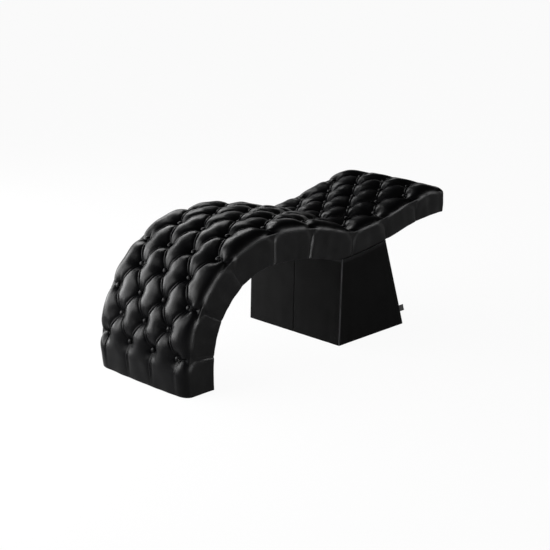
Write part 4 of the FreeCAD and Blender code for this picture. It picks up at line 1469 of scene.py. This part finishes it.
@dataclass
class TuftButtons:
    """Covered buttons that pull the leather down to the deck."""

    plan: BodyPlan
    radius: float = 0.0125
    dome: float = 0.0055
    seat: float = 0.0258
    tail: float = 0.0095
    # Rings behind the rim: shares of the radius and of the tail.
    tail_radii: tuple[float, ...] = (1.02, 0.94, 0.6, 0.15)
    tail_levels: tuple[float, ...] = (-0.12, -0.3, -0.6, -1.0)
    pleat: float = 0.03
    dome_rings: int = 6
    segments: int = 24

    def _shape(self) -> Piece:
        """Make one button: a leather cap over a shell, gathered behind its rim.

        Returns:
            The button, about the origin.
        """
        ball = (self.radius ** 2 + self.dome ** 2) / (2 * self.dome)
        lean = math.asin(self.radius / ball) * np.linspace(0.0, 1.0, self.dome_rings + 1)[1:]
        radii = np.concatenate([ball * np.sin(lean), np.array(self.tail_radii) * self.radius])
        cap = self.dome - ball * (1 - np.cos(lean))
        levels = np.concatenate([cap, np.array(self.tail_levels) * self.tail])
        turn = np.linspace(0.0, 2 * np.pi, self.segments, endpoint=False)[None, :]
        behind = (np.arange(len(radii)) > self.dome_rings)[:, None]
        wide = radii[:, None] * (1 + self.pleat * np.cos(self.segments / 2 * turn) * behind)
        level = np.broadcast_to(levels[:, None], wide.shape)
        rings = np.stack([wide * np.cos(turn), wide * np.sin(turn), level], axis=2)
        rings = np.concatenate([rings, rings[:, :1]], axis=1)
        shape = mesh_object("button_shape", rings, grid_faces(len(radii), self.segments + 1), None)
        close_up(shape)
        return shape

    def build(self, repeater: Repeater, finish: Material) -> None:
        """Set a button at every tuft.

        Args:
            repeater: The tree that repeats a shape.
            finish: Leather of the buttons.
        """
        spots = np.array(self.plan.buttons())
        places = self.plan.place(spots[:, 0], spots[:, 1], np.full(len(spots), self.seat))
        heading = self.plan.deck.at(spots[:, 0])[2]
        out = np.stack([-np.sin(heading), np.zeros(len(spots)), np.cos(heading)], axis=1)
        along = np.tile([0.0, 1.0, 0.0], (len(spots), 1))
        buttons = repeater.bake("leather_buttons", self._shape(), places, out, along, finish, math.pi)
        set_painted_light(buttons, np.ones(len(buttons.data.vertices)))
        settle(buttons, Slot.TUFT, "tuft_buttons")


@dataclass
class UnderCloth:
    """Dust cloth stretched over the underside, with its staples."""

    plan: BodyPlan
    margin: float = 0.007
    end_gap: float = 0.003
    thickness: float = 0.0005
    proud: float = 0.0003
    belly: float = 0.0012
    belly_flatness: int = 4
    slack: float = 0.0004
    base_blend: float = 0.08
    end_blend: float = 0.06
    rows: int = 260
    columns: int = 33
    staple_step: float = 0.034
    staple_inset: float = 0.008
    staple_ends: tuple[float, float] = (0.03, 0.02)
    staple_clear: float = 0.02
    staple_width: float = 0.010
    staple_leg: float = 0.002
    staple_knee: float = 0.6
    # Lean of the wire's cross section at each point of a staple, in radians.
    staple_lean: tuple[float, ...] = (3.14, 2.77, 1.97, 1.17, 0.37, 0.0)
    staple_spin: float = 0.12
    wire: float = 0.0009
    wire_sides: int = 4

    def _points(self, along: Array, across: Array, out: Array) -> Array:
        """Points at distances along the underside, places across and distances outward."""
        x, z, heading = self.plan.under.at(along)
        return np.stack([x + np.sin(heading) * out, across + 0.0 * x, z - np.cos(heading) * out], axis=-1)

    def build(self, repeater: Repeater, finish: Material, steel: Material, base: tuple[float, float]) -> None:
        """Make the cloth and staple its edges.

        Args:
            repeater: The tree that repeats a shape.
            finish: The cloth.
            steel: Finish of the staples.
            base: X where the base begins and ends under the cloth.
        """
        length, wide = self.plan.under.length, self.plan.half - self.margin
        stations = np.linspace(self.end_gap, length - self.end_gap, self.rows)
        along = stations[:, None] + np.zeros((1, self.columns))
        across = wide * np.linspace(-1.0, 1.0, self.columns)[None, :] + 0.0 * along
        x = self.plan.under.at(along)[0]
        before = smooth(x, base[0] - self.base_blend, base[0])
        free = 1 - before * (1 - smooth(x, base[1], base[1] + self.base_blend))
        loose = (1 - (across / wide) ** self.belly_flatness) * smooth(along, 0.0, self.end_blend)
        loose = loose * (1 - smooth(along, length - self.end_blend, length))
        waves = Ripples(seed=31, length_a=0.2, length_b=0.12).at(along, across)
        sag = free * loose * (self.belly + self.slack * waves)
        outer = self._points(along, across, self.proud + sag)
        inner = self._points(along, across, self.proud + sag - self.thickness)
        cloth = mesh_object("dust_cloth", *shell(outer, inner), finish)
        set_weave(cloth, along, across)
        close_up(cloth)
        settle(cloth, Slot.CLOTH, "underside_cloth")
        self._staple(repeater, steel, base)

    def _staple_shape(self) -> Piece:
        """Bend one staple from a wire.

        Returns:
            The staple, about the origin.
        """
        half, wire, knee = self.staple_width / 2, self.wire, self.wire * self.staple_knee
        path = np.array([
            [-half, -self.staple_leg], [-half, knee], [-half + wire, wire],
            [half - wire, wire], [half, knee], [half, -self.staple_leg],
        ])
        turn = np.linspace(0.0, 2 * np.pi, self.wire_sides + 1)
        lean = np.array(self.staple_lean)[:, None]
        size = (len(path), len(turn))
        tube = np.stack([
            path[:, :1] + wire / 2 * np.cos(turn)[None, :] * np.cos(lean),
            np.broadcast_to(wire / 2 * np.sin(turn)[None, :], size),
            path[:, 1:] + wire / 2 * np.cos(turn)[None, :] * np.sin(lean),
        ], axis=2)
        shape = mesh_object("staple_shape", tube, grid_faces(*size), None)
        close_up(shape)
        return shape

    def _staple(self, repeater: Repeater, steel: Material, base: tuple[float, float]) -> None:
        """Set a staple every few centimetres along both long edges, clear of the base.

        Args:
            repeater: The tree that repeats a shape.
            steel: Finish of the staples.
            base: X where the base begins and ends under the cloth.
        """
        begin, end = self.staple_ends
        line = np.arange(begin, self.plan.under.length - end, self.staple_step)
        x = self.plan.under.at(line)[0]
        line = line[(x < base[0] - self.staple_clear) | (x > base[1] + self.staple_clear)]
        edge = self.plan.half - self.margin - self.staple_inset
        along = np.concatenate([line, line])
        across = np.concatenate([np.full(len(line), -edge), np.full(len(line), edge)])
        heading = self.plan.under.at(along)[2]
        out = np.stack([np.sin(heading), np.zeros(len(along)), -np.cos(heading)], axis=1)
        run = np.stack([np.cos(heading), np.zeros(len(along)), np.sin(heading)], axis=1)
        places = self._points(along, across, np.full(len(along), self.proud))
        shape = self._staple_shape()
        staples = repeater.bake("cloth_staples", shape, places, out, run, steel, self.staple_spin)
        settle(staples, None)


class Panel(Enum):
    """Kinds of leatherette panel on the base; the side and the front come in pairs."""

    SIDE = "side"
    FRONT = "front"
    HEAD = "head"


@dataclass
class BaseBox:
    """Leatherette covers of the box under the seat, and the blank label in its corner seam."""

    plan: BodyPlan
    front_x: float
    head_x: float
    half: float = 0.314
    floor: float = 0.004
    front_lean: float = 2.0
    head_lean: float = 17.8
    corner: float = 0.007
    corner_columns: int = 6
    thickness: float = 0.0025
    drop: float = 0.0025
    body_gap: float = -0.0015
    seam_dip: float = 0.0014
    seam_width: float = 0.0022
    # Rows of a panel as share of its height, offset up and inset: turned under, face, turned in on top.
    lower_turn: tuple[tuple[float, float, float], ...] = (
        (0.0, 0.0, 0.010), (0.0, 0.0, 0.0035), (0.0, 0.0008, 0.0010), (0.0, 0.0026, 0.0002),
    )
    face_offsets: tuple[float, float] = (0.006, 0.010)
    upper_turn: tuple[tuple[float, float, float], ...] = (
        (1.0, -0.006, -0.0008), (1.0, -0.003, -0.0010), (1.0, -0.001, -0.0002), (1.0, 0.0, 0.0012),
        (1.0, 0.0, 0.006),
    )
    rows: int = 40
    columns: int = 44
    column_grade: float = 0.5
    top_guess: float = 0.45
    top_steps: int = 8
    seat_from: float = 0.3
    seat_probes: int = 1500
    ripple: float = 0.0003
    ripple_seed: int = 41
    ripple_seed_far: int = 7
    ripple_at_top: float = 0.35
    ripple_fade: tuple[float, float] = (0.75, 0.05)
    # Painted highlight: a pale band of this width along every corner edge, and a faint one along the top rim.
    painted_highlight_width: float = 0.0032
    rim_from: float = 0.985
    rim_painted_light: float = 0.12
    turned_edges: float = 0.02
    label_rise: float = 0.073
    label_height: float = 0.034
    label_length: float = 0.030
    label_tape: float = 0.00045
    label_loop: float = 0.0008
    label_sewn: float = 0.004
    label_inset: float = 0.002
    label_curl: float = 0.0012
    label_columns: int = 14
    label_turns: int = 9
    label_rows: int = 15

    def walls(self, z: Array) -> tuple[Array, Array]:
        """X of the front and the head wall at a height."""
        up = z - self.floor
        return (
            self.front_x + up * math.tan(math.radians(self.front_lean)),
            self.head_x - up * math.tan(math.radians(self.head_lean)),
        )

    def _arc(self, start: float, stop: float, head: float) -> list[list[float]]:
        """Choose the columns round a near corner.

        Args:
            start: Angle of the first outward direction, in degrees.
            stop: Angle of the last one.
            head: 1 for the corner at the head and 0 for the corner at the front.

        Returns:
            Columns as _columns gives them.
        """
        r, flat = self.corner, self.half - self.corner
        found = []
        for turn in np.radians(np.linspace(start, stop, self.corner_columns)):
            c, s = math.cos(turn), math.sin(turn)
            found.append([head, (-r if head else r) + r * c, -flat + r * s, c, s])
        return found

    def _columns(self, panel: Panel) -> Array:
        """Choose the columns of one panel.

        Args:
            panel: Which panel it is.

        Returns:
            For each column: share of the head wall in its X, X and Y offsets, and outward X and Y.
        """
        r, flat = self.corner, self.half - self.corner
        share = graded(self.columns, self.column_grade)
        if panel is Panel.SIDE:
            middle = [[v, r * (1 - 2 * v), -self.half, 0.0, -1.0] for v in share[1:-1]]
            return np.array(self._arc(225, 270, 0.0) + middle + self._arc(270, 315, 1.0))
        if panel is Panel.FRONT:
            middle = [[0.0, 0.0, -flat * v, -1.0, 0.0] for v in share[:-1]]
            return np.array(middle + self._arc(180, 225, 0.0))
        near = self._arc(315, 360, 1.0)
        middle = [[1.0, 0.0, flat * (2 * v - 1), 1.0, 0.0] for v in share[1:-1]]
        far = [[row[0], row[1], -row[2], row[3], -row[4]] for row in near[::-1]]
        return np.array(near + middle + far)

    def _top(self, head: Array, offset: Array) -> Array:
        """Find where each column of a panel meets the underside of the body.

        Args:
            head: Share of the head wall in each column's X.
            offset: X offset of each column.

        Returns:
            Z of the top of each column.
        """
        top = np.full(len(head), self.top_guess)
        along = np.linspace(self.seat_from, self.plan.under.length, self.seat_probes)
        ux, uz, _ = self.plan.under.at(along)
        for _ in range(self.top_steps):
            front, back = self.walls(top)
            top = np.interp(front + head * (back - front) + offset, ux, uz) - self.body_gap
        return top

    def _panel(self, name: str, panel: Panel, mirror: bool, finish: Material, node: str) -> None:
        """Build one stretched panel.

        Args:
            name: The piece's name.
            panel: Which panel it is.
            mirror: Whether it lies on the far side.
            finish: The leatherette.
            node: The node that it stands for.
        """
        head, x0, y, nx, ny = self._columns(panel).T
        top = self._top(head, x0)
        bottom = self.floor - self.drop
        low, high = self.face_offsets
        face = tuple((v, low * (1 - v) - high * v, 0.0) for v in np.linspace(0.0, 1.0, self.rows))
        rise = np.array(self.lower_turn + face + self.upper_turn)
        part, offset, inset = (column[:, None] for column in rise.T)
        z = bottom + (top[None, :] - bottom) * part + offset
        front, back = self.walls(z)
        x = front + head[None, :] * (back - front) + x0[None, :]
        middle = self.rows // 2
        run = np.concatenate([[0.0], np.cumsum(np.hypot(np.diff(x[middle]), np.diff(y)))])
        seed = self.ripple_seed + self.ripple_seed_far * mirror + len(name)
        wave = Ripples(seed, length_a=0.07, length_b=0.6).at(run[None, :], z)
        pull = self.ripple_at_top + (1 - self.ripple_at_top) * smooth(part, *self.ripple_fade)
        out = self.ripple * wave * pull - inset
        if panel is Panel.FRONT:
            out = out - self.seam_dip * np.exp(-(run[None, :] / self.seam_width) ** 2)
        across, aside = (-y, -ny) if mirror else (y, ny)
        layers = []
        for down in (0.0, self.thickness):
            proud = out - down
            layers.append(np.stack([x + nx * proud, across + aside * proud, z + 0.0 * x], axis=2))
        cover = mesh_object(name, *shell(*layers), finish)
        # Painted highlight along the corner edges and the top rim, stored as painted light.
        from_corner = run[-1] - run if panel is Panel.FRONT else np.minimum(run, run[-1] - run)
        corner = np.exp(-(from_corner[None, :] / self.painted_highlight_width) ** 2)
        painted_highlight = np.maximum(corner, self.rim_painted_light * smooth(part, self.rim_from, 1.0)) + 0.0 * x
        set_painted_light(cover, np.concatenate([painted_highlight, painted_highlight]))
        close_up(cover)
        settle(cover, Slot.BASE, node)

    def build(self, finish: Material) -> None:
        """Stretch the five panels over the box.

        Args:
            finish: The leatherette.
        """
        for side, mirror in (("near", False), ("far", True)):
            for panel, board in ((Panel.SIDE, f"base_side_{side}"), (Panel.FRONT, "base_front_panel")):
                name, node = f"base_{panel.value}_{side}_leather", f"base_{panel.value}_cover_{side}"
                self._panel(name, panel, mirror, finish, node)
        self._panel("base_head_leather", Panel.HEAD, False, finish, "base_head_cover")

    def build_label(self, finish: Material) -> None:
        """Sew the blank folded label into the near corner seam at the head.

        Args:
            finish: The woven tape.
        """
        loop, count = self.label_loop, self.label_columns
        turn = np.linspace(-np.pi / 2, np.pi / 2, self.label_turns)
        leg = np.linspace(-self.label_sewn, self.label_length - loop, count)
        line_x = np.concatenate([leg, self.label_length - loop + loop * np.cos(turn), leg[::-1]])
        line_y = np.concatenate([np.full(count, -loop), loop * np.sin(turn), np.full(count, loop)])
        step_x, step_y = np.gradient(line_x), np.gradient(line_y)
        size = np.hypot(step_x, step_y)
        rise = self.label_rise + self.label_height * np.linspace(0.0, 1.0, self.label_rows)[:, None]
        wall = self.walls(rise)[1]
        bow = np.sin(np.pi * (rise - self.label_rise) / self.label_height)
        curl = self.label_curl * bow * np.clip(line_x / self.label_length, 0, 1) ** 2
        layers = []
        for out in (self.label_tape / 2, -self.label_tape / 2):
            x = wall + line_x + step_y / size * out
            y = -self.half + self.label_inset + line_y - step_x / size * out + curl
            layers.append(np.stack([x, y, rise + 0.0 * x], axis=2))
        label = mesh_object("blank_label", *shell(*layers), finish)
        set_weave(label, np.cumsum(size) + 0.0 * rise, rise + 0.0 * size)
        close_up(label)
        settle(label, Slot.LABEL, "flag_label")


class LampKind(Enum):
    """A soft box lights the bed; a card only shows in its gloss."""

    SOFT_BOX = "soft_box"
    CARD = "card"


@dataclass(frozen=True)
class Lamp:
    """One rectangular light: its place, its width and height, and its power in watts."""

    name: str
    kind: LampKind
    place: tuple[float, float, float]
    size: tuple[float, float]
    power: float


LAMPS = (
    Lamp("key_left", LampKind.SOFT_BOX, (-1.85, 3.20, 1.45), (3.6, 2.7), 250.0),
    Lamp("key_card", LampKind.CARD, (-2.30, 3.40, 1.25), (4.2, 2.4), 240.0),
    Lamp("back_card", LampKind.CARD, (0.79, 3.72, 2.18), (1.8, 1.0), 40.0),
    Lamp("sky_card", LampKind.CARD, (1.56, 3.30, 2.85), (2.0, 1.2), 64.0),
    Lamp("left_high", LampKind.SOFT_BOX, (-3.30, 1.10, 2.05), (2.2, 2.0), 130.0),
    Lamp("front_card", LampKind.CARD, (-0.30, -4.20, 0.80), (1.8, 1.5), 430.0),
    Lamp("right_card", LampKind.CARD, (2.70, -3.10, 1.80), (2.2, 1.1), 200.0),
)


@dataclass
class Studio:
    """Camera, floor and lamps."""

    origin: float
    lens: float = 88.95
    sensor: float = 36.0
    azimuth: float = -45.2
    elevation: float = 16.8
    camera_x: float = -3.8507
    camera_y: float = -4.5170
    camera_z: float = 2.2634
    cove_low: float = 0.06
    cove_high: float = 0.17
    ceiling: float = 0.03
    dim: float = 0.12
    floor_colour: str = "f4f4f4"
    floor_glow: float = 0.95
    floor_half: float = 40.0
    aim: tuple[float, float, float] = (0.0, 0.0, 0.4)

    def build(self) -> None:
        """Set the stage."""
        scene = bpy.context.scene
        scene.view_settings.view_transform = "Standard"
        self._camera(scene)
        self._world(scene)
        self._floor()
        self._lamps()

    def _camera(self, scene: bpy.types.Scene) -> None:
        """Stand the camera at the photograph's place.

        Args:
            scene: The scene.
        """
        data = bpy.data.cameras.new("camera")
        data.lens, data.sensor_width = self.lens, self.sensor
        camera = bpy.data.objects.new("camera", data)
        turn, lift = math.radians(self.azimuth), math.radians(self.elevation)
        back = Vector((math.sin(turn) * math.cos(lift), -math.cos(turn) * math.cos(lift), math.sin(lift)))
        right = Vector((math.cos(turn), math.sin(turn), 0.0))
        up = back.cross(right)
        axes = Matrix((right, up, back)).transposed().to_4x4()
        place = Vector((self.camera_x + self.origin, self.camera_y, self.camera_z))
        camera.matrix_world = Matrix.Translation(place) @ axes
        scene.collection.objects.link(camera)
        scene.camera = camera

    @staticmethod
    def _seen(tree: Tree) -> bpy.types.NodeSocket:
        """Tell looking from lighting.

        Args:
            tree: The tree of the floor or the world.

        Returns:
            A socket with 1 where the camera, a reflection or a transmission looks, and 0 for light.
        """
        path = add(tree, "ShaderNodeLightPath").outputs
        most = path["Is Camera Ray"]
        for ray in ("Is Glossy Ray", "Is Transmission Ray"):
            most = add(tree, "ShaderNodeMath", {"operation": "MAXIMUM"}, {0: most, 1: path[ray]}).outputs[0]
        return most

    def _world(self, scene: bpy.types.Scene) -> None:
        """Hang a white cove round the floor under a dark ceiling, which lights as a low even grey.

        Args:
            scene: The scene.
        """
        world = bpy.data.worlds.new("studio")
        world.use_nodes = True
        tree = world.node_tree
        tree.nodes.clear()
        seen = self._seen(tree)
        look = add(tree, "ShaderNodeTexCoord").outputs["Generated"]
        rise = add(tree, "ShaderNodeSeparateXYZ", links={0: look}).outputs["Z"]
        cove = add(
            tree, "ShaderNodeMapRange",
            {"From Min": self.cove_low, "From Max": self.cove_high, "To Min": 1.0, "To Max": self.ceiling},
            {"Value": rise},
        )
        dim = add(tree, "ShaderNodeBackground", {"Color": WHITE, "Strength": self.dim})
        white = add(tree, "ShaderNodeBackground", {"Color": WHITE}, {"Strength": cove.outputs["Result"]})
        both = add(tree, "ShaderNodeMixShader", links={0: seen, 1: dim.outputs[0], 2: white.outputs[0]})
        add(tree, "ShaderNodeOutputWorld", links={"Surface": both.outputs[0]})
        scene.world = world

    def _floor(self) -> None:
        """Lay a wide white floor that keeps a faint shadow."""
        material, tree = blank_material("white_floor")
        seen = self._seen(tree)
        share = add(tree, "ShaderNodeMath", {"operation": "MULTIPLY", 1: self.floor_glow}, {0: seen})
        matt = add(tree, "ShaderNodeBsdfDiffuse", {"Color": linear(self.floor_colour)})
        glow = add(tree, "ShaderNodeEmission", {"Color": WHITE, "Strength": 1.0})
        mix = {0: share.outputs[0], 1: matt.outputs[0], 2: glow.outputs[0]}
        both = add(tree, "ShaderNodeMixShader", links=mix)
        add(tree, "ShaderNodeOutputMaterial", links={"Surface": both.outputs[0]})
        far = self.floor_half
        points = np.array([[-far, -far, 0.0], [far, -far, 0.0], [far, far, 0.0], [-far, far, 0.0]])
        floor = mesh_object("floor", points, np.array([[0, 1, 2, 3]]), material)

    def _lamps(self) -> None:
        """Stand the lamps and the reflection cards round the bed."""
        for lamp in LAMPS:
            data = bpy.data.lights.new(lamp.name, "AREA")
            data.shape, data.energy = "RECTANGLE", lamp.power
            data.size, data.size_y = lamp.size
            holder = bpy.data.objects.new(lamp.name, data)
            holder.location = lamp.place
            towards = Vector(self.aim) - Vector(lamp.place)
            holder.rotation_euler = towards.to_track_quat("-Z", "Y").to_euler()
            holder.visible_diffuse = lamp.kind is LampKind.SOFT_BOX
            bpy.context.scene.collection.objects.link(holder)


def dress_nodes(frame: dict, finishes: dict[Slot, Material]) -> None:
    """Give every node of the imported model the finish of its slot.

    Args:
        frame: The loaded frame.
        finishes: Materials by slot.
    """
    for part in frame["record"]["subparts"]:
        node = frame["nodes"][part["node"]]
        node.data.materials.clear()
        node.data.materials.append(finishes[Slot(part["material_slot"])])
        LOG.info("%s: %s", part["node"], part["material_slot"])


def main() -> None:
    """Load the frame, build the soft pieces, dress the rest and set the stage."""
    logging.basicConfig(level=logging.INFO, format="%(message)s")
    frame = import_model()
    finishes = {slot: finish.make() for slot, finish in FINISHES.items()}
    dress_nodes(frame, finishes)
    plan = BodyPlan(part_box("deck_panel")[0].x + BodyPlan.arch_depth)
    Studio(plan.origin).build()
    cover = TuftedCover(plan, TuftField(plan))
    cover.build(finishes[Slot.TUFT], finishes[Slot.FOAM])
    cover.build_head_end(finishes[Slot.TUFT])
    repeater = Repeater()
    TuftButtons(plan).build(repeater, finishes[Slot.TUFT])
    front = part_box("base_front_cover_near")[0].x
    head_low, head_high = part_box("base_head_cover")
    UnderCloth(plan).build(repeater, finishes[Slot.CLOTH], finishes[Slot.ZINC], (front, head_low.x))
    base = BaseBox(plan, front, head_high.x)
    base.build(finishes[Slot.BASE])
    base.build_label(finishes[Slot.LABEL])


if __name__ == "__main__":
    main()
